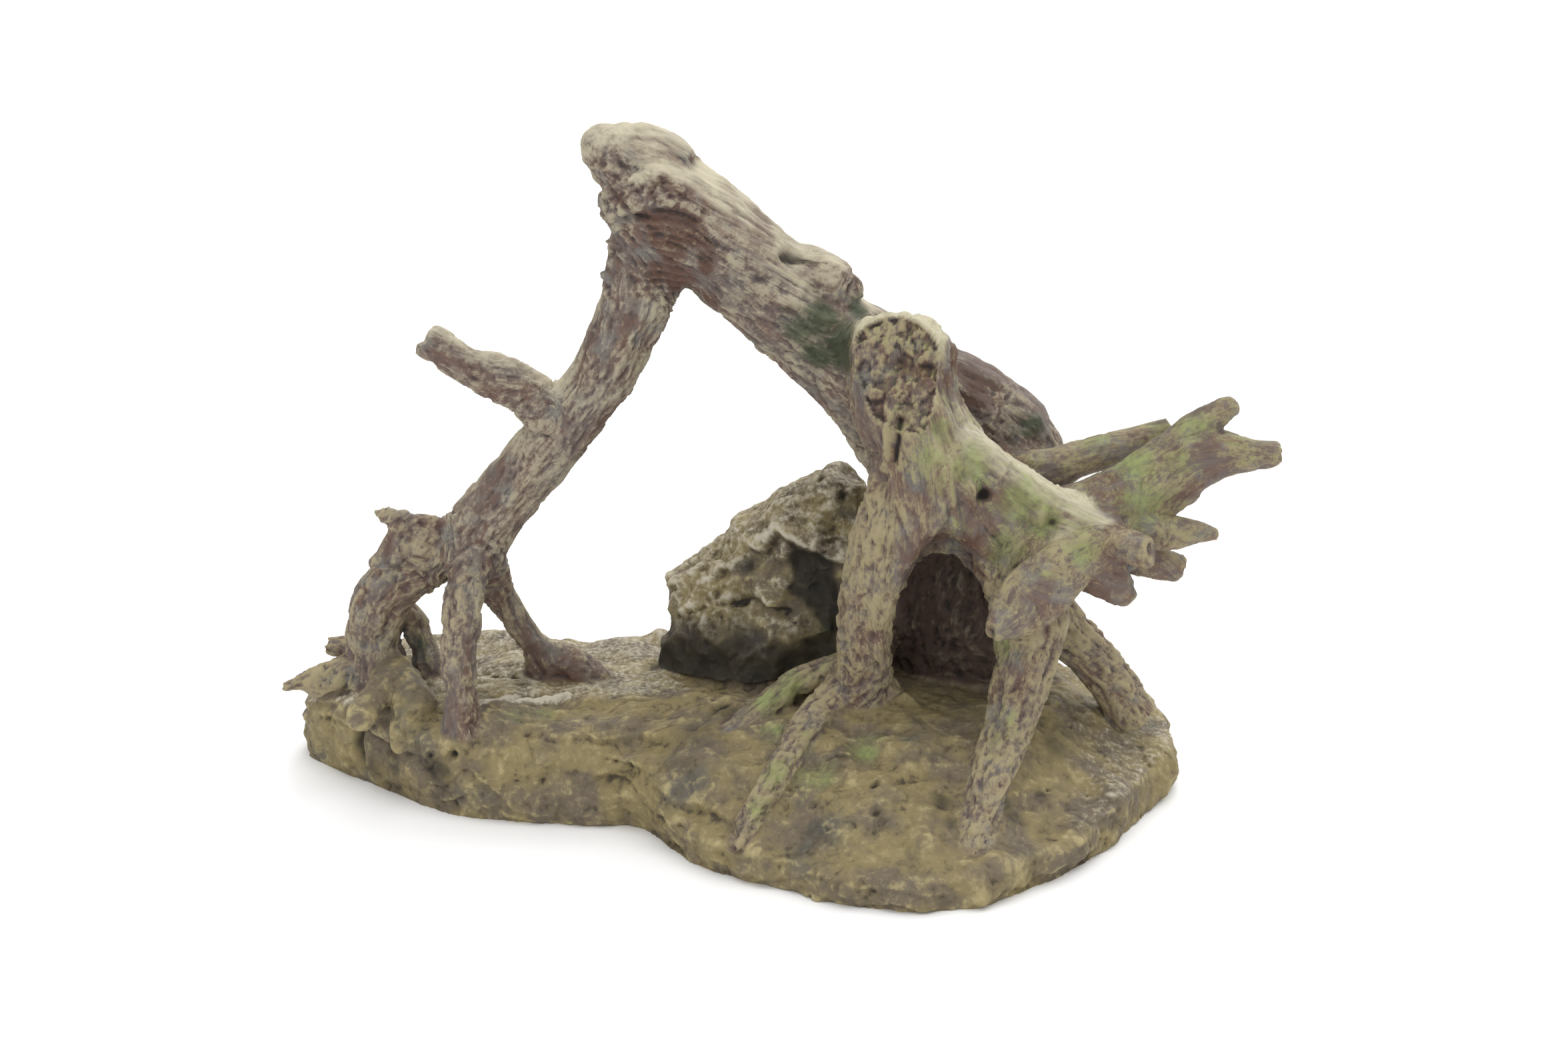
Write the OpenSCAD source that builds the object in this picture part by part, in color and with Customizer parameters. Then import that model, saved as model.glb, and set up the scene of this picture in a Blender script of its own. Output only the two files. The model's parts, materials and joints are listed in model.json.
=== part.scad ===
// Aquarium cave ornament: a driftwood arch and a root stump on a rock ledge.
// It is cast in resin as separate pieces, which are pegged and bonded together.
// Millimetres. +X runs to the right along the ledge, +Y to the back, +Z up.
// The origin is on the flat underside.

/* [Wood] */
// Thickness of every root and limb, as a share of the design's own
girth = 1; // [0.96:0.02:1.04]
// Depth of the flutes along the wood, as a share of its thickness
flute = 0.04; // [0:0.01:0.06]
// Facets round a thick limb
limb_sides = 14; // [12:2:16]
// Facets round a thin root
root_sides = 10; // [8:2:12]

/* [Rock] */
// Height of the ledge under the thin end of the arch
shelf_z = 28; // [27:1:29]
// Rise from the ledge to its crest under the stump
crest_rise = 7; // [6:1:8]
// How far the underside is drawn in from the widest line
undercut = 1.5; // [0.5:0.5:3]
// Roughness of the rock
rough = 1; // [0:0.1:1.4]

/* [Bonded joints] */
// Diameter of a peg that carries a limb
peg_d = 7; // [6:0.5:8]
// Diameter of a peg in a root
root_peg_d = 4; // [3:0.2:4.4]
// Diameter of a peg in a twig
twig_peg_d = 2.6; // [2:0.2:3]
// Radial gap that the bonding resin fills
glue_gap = 0.1; // [0.05:0.05:0.2]

/* [Hidden] */
rings_a_span = 3;  // rings between two stations of a limb
peg_room = 0.5;    // room past a peg's end in its socket
wood = [0.50, 0.41, 0.35];
mossy_wood = [0.50, 0.49, 0.33];
stone = [0.60, 0.52, 0.36];
dark_stone = [0.45, 0.39, 0.27];

// ---- curves -------------------------------------------------------------

// Catmull-Rom curve from b to c
function curve(a, b, c, d, t) = 0.5 * (2 * b + (c - a) * t
    + (2 * a - 5 * b + 4 * c - d) * t * t + (3 * b - a - 3 * c + d) * t * t * t);
function held(p, i) = p[min(max(i, 0), len(p) - 1)];
function smooth(p, n) = [for (i = [0 : len(p) - 2], j = [0 : n - 1])
    curve(held(p, i - 1), p[i], p[i + 1], held(p, i + 2), j / n), p[len(p) - 1]];
function smooth_loop(p, n) = let (m = len(p)) [for (i = [0 : m - 1], j = [0 : n - 1])
    curve(p[(i + m - 1) % m], p[i], p[(i + 1) % m], p[(i + 2) % m], j / n)];
function unit(v) = v / norm(v);
function ease(t) = let (u = min(max(t, 0), 1)) u * u * (3 - 2 * u);
function hump(d, r) = exp(-(d * d) / (r * r));

// ---- limbs --------------------------------------------------------------

// A limb is a list of stations [x, y, z, half width, half depth]. The width
// lies in the front elevation and the depth is square to it.
function spot(s) = [s[0], s[1], s[2]];
function heading(s, i) = unit(spot(held(s, i + 1)) - spot(held(s, i - 1)));
function fluted(a, i, seed) = 1 + flute * (0.9 * sin(3 * a + 21 * i + 47 * seed)
    + 0.6 * sin(5 * a - 13 * i + 91 * seed));
function ring(s, i, sides, seed) = let (t = heading(s, i),
    across = unit(cross([0, 1, 0], t)), back = cross(t, across))
    [for (k = [0 : sides - 1]) let (a = 360 * k / sides, w = girth * fluted(a, i, seed))
        spot(s[i]) + w * (s[i][3] * cos(a) * across + s[i][4] * sin(a) * back)];

// Faces of a stack of n rings, each with m points, closed at both ends
function stack_faces(n, m) = [[for (k = [0 : m - 1]) k],
    for (i = [0 : n - 2], k = [0 : m - 1])
        let (a = i * m + k, b = i * m + (k + 1) % m) each [[a, a + m, b + m], [a, b + m, b]],
    [for (k = [m - 1 : -1 : 0]) (n - 1) * m + k]];

module limb(line, sides = limb_sides, seed = 1) {
    s = smooth(line, rings_a_span);
    polyhedron([for (i = [0 : len(s) - 1]) each ring(s, i, sides, seed)],
        stack_faces(len(s), sides), convexity = 6);
}

// ---- bonded joints ------------------------------------------------------

// A joint is [middle, heading into the child, diameter, reach each way].
module along(joint) translate(joint[0])
    rotate([0, acos(unit(joint[1])[2]), atan2(joint[1][1], joint[1][0])]) children();
module peg(joint) along(joint) translate([0, 0, -joint[3]])
    cylinder(d = joint[2], h = 2 * joint[3], $fn = 32);
module socket(joint) along(joint) translate([0, 0, -joint[3] - peg_room])
    cylinder(d = joint[2] + 2 * glue_gap, h = 2 * joint[3] + peg_room, $fn = 32);

// One casting: its children fuse into one skin, then it gets its own pegs and
// the sockets of the pieces that it carries.
module casting(pegs = [], sockets = []) difference() {
    union() {
        resize([0, 0, 0]) children();
        for (joint = pegs) peg(joint);
    }
    for (joint = sockets) socket(joint);
}

log_on_rock = [[57, 34, 32], [0, 0, 1], 10, 7];
boulder_on_rock = [[-12, 42, 28], [0, 0, 1], peg_d, 6];
stump_on_log = [[42, 8, 116], [0, -1, 0], peg_d, 6];
limb_on_log = [[-42, 11, 169], [-4, 0, -14], peg_d, 6];
stub_on_limb = [[-72, 14, 121], [-9, -1, 6], root_peg_d, 4];
spur_on_limb = [[-108, 17, 78], [-6, -3, 1], twig_peg_d, 3];
outer_on_limb = [[-101, 22, 73], [-10, 0, -3], peg_d, 5];
front_on_limb = [[-96, 11, 67], [-2, -6, -9], root_peg_d, 3.5];
inner_on_limb = [[-90, 22, 65], [1, 1, -8], root_peg_d, 4];
rear_on_outer = [[-118, 33, 49], [4, 2, -9], twig_peg_d, 3];
thorn_on_outer = [[-133, 28, 31], [-7, -1, 0], root_peg_d, 3.5];
claw_on_outer = [[-124, 20, 33], [-3, -8, -1], root_peg_d, 3.5];
outer_on_rock = [[-126, 30, 28], [0, 0, 1], peg_d, 5];
front_on_rock = [[-97, -4, 28], [0, -3, 10], root_peg_d, 4];
inner_on_rock = [[-74, 31, 28], [0, 0, 1], root_peg_d, 4];
rear_on_rock = [[-110, 32, 28], [0, 0, 1], twig_peg_d, 3];
leg_left_on_stump = [[29, -10, 84], [-2, 0, -10], peg_d, 5];
leg_left_on_rock = [[23, -1, 34], [0, 0, 1], peg_d, 5];
leg_right_on_stump = [[71, -13, 84], [2, -1, -12], peg_d, 5];
leg_right_on_rock = [[67, -24, 31], [2, 6, 12], root_peg_d, 4];
leg_rear_on_log = [[76, 9, 66], [8, -3, -10], root_peg_d, 4];
leg_rear_on_rock = [[102, 11, 26], [0, 0, 1], root_peg_d, 4];
creeper_on_log = [[34, 25, 44], [-10, -9, -1], root_peg_d, 4];
antler_rear_on_log = [[72, 11, 101], [8, -2, 1], root_peg_d, 4];
antler_long_on_hub = [[97, -11, 97], [7, 2, 6], root_peg_d, 3.5];
antler_upper_on_ridge = [[87, -6, 99], [8, 2, 3], root_peg_d, 3.5];
antler_low_on_hub = [[101, -14, 91], [10, 0, 0], root_peg_d, 3.5];
antler_ring_on_hub = [[96, -22, 91], [6, -7, 0], root_peg_d, 3];
antler_ragged_on_hub = [[94, -16, 82], [3, -1, -9], root_peg_d, 3];
club_on_hub = [[85, -21, 87], [-6, -4, -6], root_peg_d, 4];

// ---- rock ---------------------------------------------------------------

// Plan of the ledge [x, y, height of its rim], anticlockwise from the left end
ledge_plan = [[-152, 38, 20], [-146, 27, 24], [-130, 12, 26], [-116, -1, 26],
    [-100, -13, 24], [-80, -18, 23], [-60, -19, 23], [-44, -23, 22], [-34, -38, 16],
    [-23, -52, 11], [-8, -61, 10], [6, -68, 9], [22, -77, 9], [42, -79, 9], [62, -72, 10],
    [83, -56, 11], [98, -34, 13], [110, -12, 14], [119, 6, 15], [122, 24, 17],
    [115, 44, 18], [100, 60, 19], [70, 68, 21], [30, 70, 22], [-10, 69, 24],
    [-50, 70, 26], [-95, 71, 27], [-128, 68, 26], [-146, 55, 23]];
ledge_heart = [-10, 20];
ledge_rings = [0.985, 0.955, 0.91, 0.86, 0.8, 0.73, 0.64, 0.54, 0.42, 0.28, 0.14];
shoulder = 0.3; // share of the way in at which the rim has become the top

function grit(x, y) = rough * (0.7 * sin(29 * x + 17 * y) * cos(23 * y - 7 * x)
    + 0.5 * sin(51 * x - 37 * y + 40));
function ledge_top(x, y) = shelf_z
    + crest_rise * hump(norm([(x - 34) / 1.15, y + 6]), 38)
    - 0.22 * max(x - 86, 0) - 0.16 * max(-y - 18, 0);
function ledge_point(p, f) = let (x = ledge_heart[0] + f * (p[0] - ledge_heart[0]),
    y = ledge_heart[1] + f * (p[1] - ledge_heart[1]), rise = ease((1 - f) / shoulder))
    [x, y, p[2] + (ledge_top(x, y) - p[2]) * rise + grit(x, y)];
function drawn_in(p, z, by) = let (v = [p[0], p[1]] - ledge_heart, u = unit(v),
    n = by + grit(p[0] + 3 * z, p[1])) [p[0] - u[0] * n, p[1] - u[1] * n, z];

module ledge_shape() {
    rim = smooth_loop(ledge_plan, 3);
    rings = [[for (p = rim) drawn_in(p, -3, undercut + 1)],
        [for (p = rim) drawn_in(p, 2, undercut)],
        [for (p = rim) drawn_in(p, 0.35 * p[2], 0)],
        [for (p = rim) drawn_in(p, 0.7 * p[2], 0.5)],
        for (f = ledge_rings) [for (p = rim) ledge_point(p, f)]];
    polyhedron([for (r = rings) each r], stack_faces(len(rings), len(rim)), convexity = 6);
}

// A boulder is a limb with a broken outline.
function chipped(a, i) = 1 + 0.03 * rough * (sin(3 * a + 50 * i) + sin(7 * a - 80 * i)
    + 0.7 * sin(11 * a + 130 * i));
boulder_line = [[0, 42, 22, 38, 21], [0, 42, 30, 39, 22], [2, 42, 40, 38, 22],
    [5, 42, 50, 35, 20], [8, 41, 60, 29, 18], [11, 40, 70, 24, 16], [14, 40, 79, 19, 13],
    [17, 39, 87, 13, 10], [19, 38, 93, 7, 6]];
module boulder_shape() {
    s = smooth(boulder_line, 2);
    sides = 24;
    polyhedron([for (i = [0 : len(s) - 1], p = ring(s, i, sides, 3))
        let (c = spot(s[i]), a = atan2(p[1] - c[1], p[0] - c[0])) c + (p - c) * chipped(a, i)],
        stack_faces(len(s), sides), convexity = 6);
}

// ---- arch: log, thin end and its feet -----------------------------------

log_line = [[-48, 10, 194, 8, 8], [-45, 10, 191, 12, 13], [-40, 11, 188, 15, 15],
    [-33, 12, 183, 16, 16], [-21, 14, 173, 16, 16], [-6, 17, 159, 15.5, 16],
    [11, 20, 143, 16, 16], [28, 23, 129, 19, 17], [44, 26, 114, 25, 18],
    [56, 29, 96, 30, 19], [58, 31, 72, 29, 19], [58, 32, 45, 26, 20], [57, 33, 22, 26, 21]];
knot_line = [[-5, 18, 162, 8, 8], [4, 18, 161, 10, 10], [12, 17, 159, 9.5, 9], [17, 17, 157, 7, 7],
    [21, 18, 154, 3, 3]];
crown_line = [[-55, 9, 201, 4, 4], [-52, 9, 200, 8, 7], [-44, 10, 198, 10.5, 9],
    [-36, 11, 197, 9.5, 9], [-31, 13, 195, 8, 8], [-28, 13, 192, 5, 5]];
module log_shape() {
    limb(log_line, limb_sides + 2, 1);
    limb(knot_line, root_sides, 2);
    limb(crown_line, limb_sides, 3);
}

limb_line = [[-34, 12, 178, 17, 12], [-40, 11, 165, 12, 10], [-46, 12, 149, 10, 9.5],
    [-54, 13, 131, 9.5, 9.5], [-65, 15, 116, 9.5, 9.5], [-78, 18, 99, 9.5, 9],
    [-89, 20, 85, 10.5, 10], [-95, 21, 75, 11, 11], [-97, 21, 70, 9, 9]];
module limb_shape() limb(limb_line, limb_sides, 4);

stub_line = [[-61, 14, 117, 10, 7], [-70, 13, 121, 8, 7], [-77, 12, 127, 7, 6.5], [-85, 11, 132, 7, 6.5],
    [-94, 9, 136, 5.5, 5.5], [-101, 8, 142, 5.5, 5], [-105, 8, 145, 4.5, 4]];
stub_twig_line = [[-96, 8, 138, 3, 3], [-103, 8, 140, 3, 3], [-108, 7, 142, 2, 2]];
module stub_shape() {
    limb(stub_line, root_sides, 5);
    limb(stub_twig_line, root_sides, 6);
}

outer_line = [[-96, 22, 76, 9, 9], [-107, 22, 72, 10, 9], [-116, 24, 64, 9, 9],
    [-124, 26, 54, 8.5, 8.5], [-127, 28, 43, 8, 8], [-125, 29, 32, 9, 9], [-125, 29, 24, 10, 10]];
module outer_shape() limb(outer_line, root_sides + 2, 7);

spur_lines = [[[-102, 17, 78, 6, 4], [-111, 15, 82, 6, 3.5], [-118, 12, 87, 3, 2.5], [-122, 11, 90, 1, 1]],
    [[-104, 17, 75, 6, 4], [-113, 14, 79, 6, 3.5], [-119, 13, 80, 3, 2.5]],
    [[-104, 17, 74, 6, 4], [-115, 13, 77, 6, 3.5], [-121, 11, 74, 3, 2.5], [-125, 10, 73, 1.5, 1]]];
module spur_shape() for (line = spur_lines) limb(line, root_sides, 8);

front_line = [[-94, 16, 74, 7, 6], [-96, 8, 64, 6, 6], [-97, 2, 56, 6, 6],
    [-98, -3, 48, 5.5, 5.5], [-97, -5, 38, 5, 5], [-97, -6, 29, 5.5, 6], [-97, -6, 24, 6, 6]];
module front_shape() limb(front_line, root_sides, 9);

inner_line = [[-91, 21, 72, 7, 7], [-90, 22, 64, 7, 6], [-87, 25, 57, 5, 4.5],
    [-83, 27, 49, 4, 4], [-78, 29, 40, 4, 4], [-74, 31, 31, 6, 5], [-73, 32, 25, 7, 6]];
inner_spread = [[-78, 29, 38, 3, 3], [-69, 30, 34, 5, 5], [-62, 31, 30, 5, 6], [-56, 32, 26, 3, 5]];
module inner_shape() {
    limb(inner_line, root_sides, 10);
    limb(inner_spread, root_sides, 11);
}

rear_line = [[-121, 31, 56, 5, 5], [-119, 33, 50, 4.5, 4.5], [-115, 36, 43, 4.5, 4.5],
    [-112, 35, 36, 4, 4], [-110, 32, 29, 5, 5], [-110, 32, 24, 5, 5]];
module rear_shape() limb(rear_line, root_sides, 12);

thorn_line = [[-124, 29, 31, 7, 7], [-133, 28, 31, 5.5, 5], [-141, 27, 29, 5, 4],
    [-148, 26, 28, 3, 3], [-155, 25, 27, 1.2, 1.2]];
thorn_side = [[-127, 31, 35, 4, 4], [-135, 34, 36, 3.5, 3.5], [-142, 36, 36, 2.5, 2.5]];
module thorn_shape() {
    limb(thorn_line, root_sides, 13);
    limb(thorn_side, root_sides, 14);
}

claw_line = [[-119, 24, 33, 6, 6], [-122, 12, 32, 5, 5], [-126, 3, 30, 4.5, 4.5],
    [-129, -3, 28, 3, 3]];
claw_side = [[-118, 20, 32, 5, 5], [-113, 9, 30, 6, 6], [-114, 3, 24, 6, 6], [-116, 0, 17, 3, 3]];
module claw_shape() {
    limb(claw_line, root_sides, 15);
    limb(claw_side, root_sides, 16);
}

// ---- stump, its legs and the creeping root ------------------------------

stump_line = [[33, 6, 152, 7, 5], [33, 5, 150, 11, 9], [33, 3, 145, 15, 13], [34, 0, 138, 16, 15],
    [36, -3, 127, 16, 15], [41, -5, 115, 17, 15], [45, -6, 101, 21, 16], [47, -6, 88, 24, 16],
    [47, -6, 82, 22, 13]];
ridge_line = [[44, -6, 116, 12, 10], [59, -10, 105, 12, 10], [75, -12, 96, 11, 10],
    [87, -13, 92, 10, 10], [95, -14, 91, 9, 9], [99, -14, 91, 5, 5]];
break_point = [32, -8, 141];   // middle of the broken face
break_normal = [-6, -40, 24];  // the way that the face looks
module stump_shape() difference() {
    union() {
        limb(stump_line, limb_sides, 17);
        limb(ridge_line, limb_sides, 18);
    }
    along([break_point, break_normal]) translate([-30, -30, 0]) cube([60, 60, 40]);
    limb(cave_line, limb_sides, 20);
}
// Hollow under the stump
cave_line = [[47, -34, 34, 15, 10], [47, -24, 70, 14, 14], [47, -10, 78, 13, 13],
    [47, 4, 72, 12, 10]];

leg_left_line = [[36, -7, 106, 12, 9], [32, -9, 96, 10, 9], [28, -10, 86, 9, 8.5],
    [25, -10, 75, 8, 8], [24, -8, 60, 8, 8], [24, -5, 46, 8.5, 8.5], [23, -2, 35, 11, 10],
    [22, 0, 27, 12, 11]];
toe_left_line = [[20, -2, 37, 7, 6], [12, -10, 35, 5.5, 5], [5, -24, 31, 4.5, 4.5],
    [0, -38, 29, 4, 4], [-6, -47, 22, 3.5, 4], [-11, -52, 15, 3, 4], [-14, -57, 9, 2, 3]];
module leg_left_shape() {
    limb(leg_left_line, root_sides + 2, 21);
    limb(toe_left_line, root_sides, 22);
}

leg_right_line = [[68, -12, 93, 11, 9], [71, -13, 84, 11, 9], [73, -14, 73, 11, 9],
    [73, -16, 61, 10, 9], [71, -19, 49, 9, 8], [68, -24, 40, 8, 8], [64, -33, 31, 7, 7],
    [60, -45, 25, 6, 6], [57, -54, 18, 5, 5], [55, -61, 12, 4, 5], [56, -65, 6, 3, 4]];
module leg_right_shape() limb(leg_right_line, root_sides + 2, 23);

leg_rear_line = [[66, 16, 78, 8, 8], [76, 9, 66, 8, 8], [85, 8, 53, 7.5, 7],
    [94, 9, 42, 7, 7], [102, 11, 31, 7, 7], [106, 13, 22, 8, 8]];
module leg_rear_shape() limb(leg_rear_line, root_sides, 24);

creeper_line = [[40, 30, 44, 6, 6], [29, 20, 43, 5.5, 5.5], [20, 9, 41, 5, 5], [12, 4, 40, 4.5, 4.5],
    [3, 0, 38, 4, 4.5], [-4, -5, 34, 4, 4.5], [-11, -10, 31, 3, 4], [-17, -15, 28.5, 2.5, 3],
    [-21, -19, 27.5, 1.5, 2]];
module creeper_shape() limb(creeper_line, root_sides, 25);

// ---- antlers and the club root ------------------------------------------

antler_rear_line = [[58, 16, 100, 9, 9], [70, 11, 101, 8, 8], [79, 9, 103, 7, 7],
    [87, 10, 106, 6, 6], [97, 11, 109, 5.5, 5.5], [107, 13, 112, 4.5, 4.5], [115, 14, 116, 2.5, 2.5]];
module antler_rear_shape() limb(antler_rear_line, root_sides, 26);

antler_long_line = [[90, -13, 92, 8, 8], [99, -10, 99, 7, 7], [109, -8, 105, 7, 7],
    [118, -6, 110, 9.5, 7.5], [128, -5, 113, 7.5, 6.5], [138, -5, 113, 5, 5], [146, -5, 114, 3.5, 3.5]];
antler_long_web = [[100, -10, 96, 5, 4], [108, -8, 98, 6, 4], [116, -7, 101, 5, 4], [121, -6, 104, 4, 4]];
module antler_long_shape() {
    limb(antler_long_line, root_sides + 2, 27);
    limb(antler_long_web, root_sides, 28);
}

antler_upper_line = [[80, -6, 96, 7, 6], [92, -4, 100, 6, 6], [103, -3, 106, 5.5, 5.5],
    [112, -3, 114, 5, 5], [120, -2, 120, 5, 5], [128, -1, 125, 4, 4], [133, 0, 127, 2.5, 2.5]];
module antler_upper_shape() limb(antler_upper_line, root_sides, 29);

antler_low_line = [[93, -14, 91, 6, 6], [103, -14, 92, 5, 5], [113, -14, 92, 5.5, 5],
    [121, -15, 92.5, 3.5, 3.5], [127, -16, 92, 1.5, 1.5]];
module antler_low_shape() limb(antler_low_line, root_sides, 30);

antler_ring_line = [[92, -17, 91, 6, 6], [98, -23, 92, 5, 5], [105, -28, 91, 5, 5],
    [107, -29, 91, 4, 4]];
module antler_ring_shape() limb(antler_ring_line, root_sides, 31);

antler_ragged_line = [[89, -15, 89, 9, 7], [93, -16, 81, 9, 6], [98, -17, 76, 6, 5], [102, -18, 72, 3, 3]];
antler_dark_line = [[95, -11, 86, 6, 6], [104, -8, 82, 6, 5], [112, -6, 79, 5, 4], [118, -5, 77, 4, 3]];
module antler_ragged_shape() {
    limb(antler_ragged_line, root_sides, 32);
    limb(antler_dark_line, root_sides, 33);
}

club_line = [[91, -17, 92, 7, 7], [85, -21, 87, 8, 7], [77, -26, 81, 10, 7], [69, -31, 75, 9, 6],
    [62, -35, 70, 5, 5], [59, -36, 68, 2, 3]];
module club_shape() difference() {
    limb(club_line, root_sides + 2, 34);
    translate([40, -60, 40]) cube([60, 60, 27]);
}

// ---- the pieces ---------------------------------------------------------

module rock_base() color(stone) difference() {
    casting([], [log_on_rock, boulder_on_rock, outer_on_rock, front_on_rock, inner_on_rock,
        rear_on_rock, leg_left_on_rock, leg_right_on_rock, leg_rear_on_rock]) ledge_shape();
    translate([-200, -200, -20]) cube([400, 400, 20]);
}
module boulder() color(dark_stone) casting([boulder_on_rock]) difference() {
    boulder_shape();
    ledge_shape();
    log_shape();
}
module main_log() color(wood) casting([log_on_rock],
    [stump_on_log, limb_on_log, leg_rear_on_log, creeper_on_log, antler_rear_on_log])
    difference() {
        log_shape();
        ledge_shape();
    }
module left_limb() color(wood) casting([limb_on_log],
    [stub_on_limb, outer_on_limb, front_on_limb, inner_on_limb]) difference() {
        limb_shape();
        log_shape();
    }
module side_stub() color(wood) casting([stub_on_limb]) difference() {
    stub_shape();
    limb_shape();
}
module outer_foot() color(wood) casting([outer_on_limb, outer_on_rock],
    [spur_on_limb, rear_on_outer, thorn_on_outer, claw_on_outer]) difference() {
        outer_shape();
        limb_shape();
        ledge_shape();
    }
module bark_spur() color(wood) casting([spur_on_limb]) difference() {
    spur_shape();
    limb_shape();
    outer_shape();
}
module front_foot() color(wood) casting([front_on_limb, front_on_rock]) difference() {
    front_shape();
    limb_shape();
    outer_shape();
    ledge_shape();
}
module inner_foot() color(wood) casting([inner_on_limb, inner_on_rock]) difference() {
    inner_shape();
    limb_shape();
    outer_shape();
    front_shape();
    ledge_shape();
}
module rear_foot() color(wood) casting([rear_on_outer, rear_on_rock]) difference() {
    rear_shape();
    outer_shape();
    ledge_shape();
}
module thorn_root() color(wood) casting([thorn_on_outer]) difference() {
    thorn_shape();
    outer_shape();
    ledge_shape();
}
module claw_root() color(stone) casting([claw_on_outer]) difference() {
    claw_shape();
    outer_shape();
    ledge_shape();
    thorn_shape();
}
module stump() color(mossy_wood) casting([stump_on_log],
    [leg_left_on_stump, leg_right_on_stump, antler_long_on_hub, antler_upper_on_ridge,
        antler_low_on_hub, antler_ring_on_hub, antler_ragged_on_hub, club_on_hub])
    difference() {
        stump_shape();
        log_shape();
    }
module arch_leg_left() color(wood) casting([leg_left_on_stump, leg_left_on_rock]) difference() {
    leg_left_shape();
    stump_shape();
    ledge_shape();
}
module arch_leg_right() color(mossy_wood) casting([leg_right_on_stump, leg_right_on_rock])
    difference() {
        leg_right_shape();
        stump_shape();
        ledge_shape();
    }
module arch_leg_rear() color(wood) casting([leg_rear_on_log, leg_rear_on_rock]) difference() {
    leg_rear_shape();
    log_shape();
    leg_right_shape();
    ledge_shape();
}
module creeping_root() color(mossy_wood) casting([creeper_on_log]) difference() {
    creeper_shape();
    log_shape();
    leg_left_shape();
    ledge_shape();
}
module antler_rear() color(mossy_wood) casting([antler_rear_on_log]) difference() {
    antler_rear_shape();
    log_shape();
    stump_shape();
}
module antler_long() color(mossy_wood) casting([antler_long_on_hub]) difference() {
    antler_long_shape();
    stump_shape();
}
module antler_upper() color(mossy_wood) casting([antler_upper_on_ridge]) difference() {
    antler_upper_shape();
    stump_shape();
    antler_long_shape();
    antler_rear_shape();
}
module antler_low() color(mossy_wood) casting([antler_low_on_hub]) difference() {
    antler_low_shape();
    stump_shape();
    antler_long_shape();
}
module antler_ring() color(wood) casting([antler_ring_on_hub]) difference() {
    antler_ring_shape();
    stump_shape();
    antler_low_shape();
}
module antler_ragged() color(wood) casting([antler_ragged_on_hub]) difference() {
    antler_ragged_shape();
    stump_shape();
    antler_long_shape();
    antler_low_shape();
    antler_ring_shape();
}
module club_root() color(wood) casting([club_on_hub]) difference() {
    club_shape();
    stump_shape();
    leg_right_shape();
    antler_ring_shape();
    antler_ragged_shape();
}

rock_base();
boulder();
main_log();
left_limb();
side_stub();
bark_spur();
outer_foot();
front_foot();
inner_foot();
rear_foot();
thorn_root();
claw_root();
stump();
arch_leg_left();
arch_leg_right();
arch_leg_rear();
creeping_root();
club_root();
antler_rear();
antler_long();
antler_upper();
antler_low();
antler_ring();
antler_ragged();
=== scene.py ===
"""Looks of the aquarium cave ornament, a painted resin casting of driftwood on a rock ledge.

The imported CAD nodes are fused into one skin. The skin is sculpted, and then it is cut back
into the same pieces. Lengths are in metres, and MM turns millimetres into metres.
"""

import json
import math

import bmesh
import bpy
import numpy as np
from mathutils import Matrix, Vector, noise
from mathutils.bvhtree import BVHTree


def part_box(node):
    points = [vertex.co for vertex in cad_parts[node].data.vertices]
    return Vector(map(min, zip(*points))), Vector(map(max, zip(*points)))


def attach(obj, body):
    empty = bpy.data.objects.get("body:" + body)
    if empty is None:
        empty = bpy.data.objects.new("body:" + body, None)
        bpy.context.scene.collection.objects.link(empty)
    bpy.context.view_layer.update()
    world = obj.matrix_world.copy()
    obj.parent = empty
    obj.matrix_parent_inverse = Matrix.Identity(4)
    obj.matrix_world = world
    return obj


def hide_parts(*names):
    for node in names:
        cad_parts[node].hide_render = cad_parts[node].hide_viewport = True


MM = 0.001
VOXEL = 0.72 * MM  # size of a face of the skin
UNDERSIDE = 0.3 * MM  # what lies lower belongs to the flat underside
SAMPLE_SEED = 11
CAP_DEPTH = 3.0 * MM  # how deep inside the skin a piece is closed where it was cut
CAP_SHARE = 0.45  # the same as a share of a thin limb's radius
CAP_SAG = 2.0  # how much deeper a cap's middle lies, where its rim faces one way

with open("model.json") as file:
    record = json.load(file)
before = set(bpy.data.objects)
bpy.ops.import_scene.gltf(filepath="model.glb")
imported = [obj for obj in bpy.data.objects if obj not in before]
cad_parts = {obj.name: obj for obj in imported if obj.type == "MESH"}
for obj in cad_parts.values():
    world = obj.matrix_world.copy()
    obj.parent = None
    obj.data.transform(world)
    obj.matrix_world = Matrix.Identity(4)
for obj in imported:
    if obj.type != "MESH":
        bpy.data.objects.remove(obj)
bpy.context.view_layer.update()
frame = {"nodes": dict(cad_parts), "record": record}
slot_of = {part["node"]: part["material_slot"] for part in frame["record"]["subparts"]}

NAMES = list(frame["nodes"])
ROCKS = ("rock_base", "boulder", "claw_root")
CAVE_LEGS = ("arch_leg_left", "arch_leg_right", "arch_leg_rear")
FEET = ("outer_foot", "inner_foot", "front_foot", "rear_foot", "bark_spur")
ANTLERS = [name for name in NAMES if name.startswith("antler")]


# ---- camera, light and floor ------------------------------------------------

CAMERA_ELEVATION = math.radians(20)
CAMERA_DISTANCE = 1.1
CAMERA_AIM = Vector((0, 0, 0.09))
LENS_MM = 85


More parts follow.
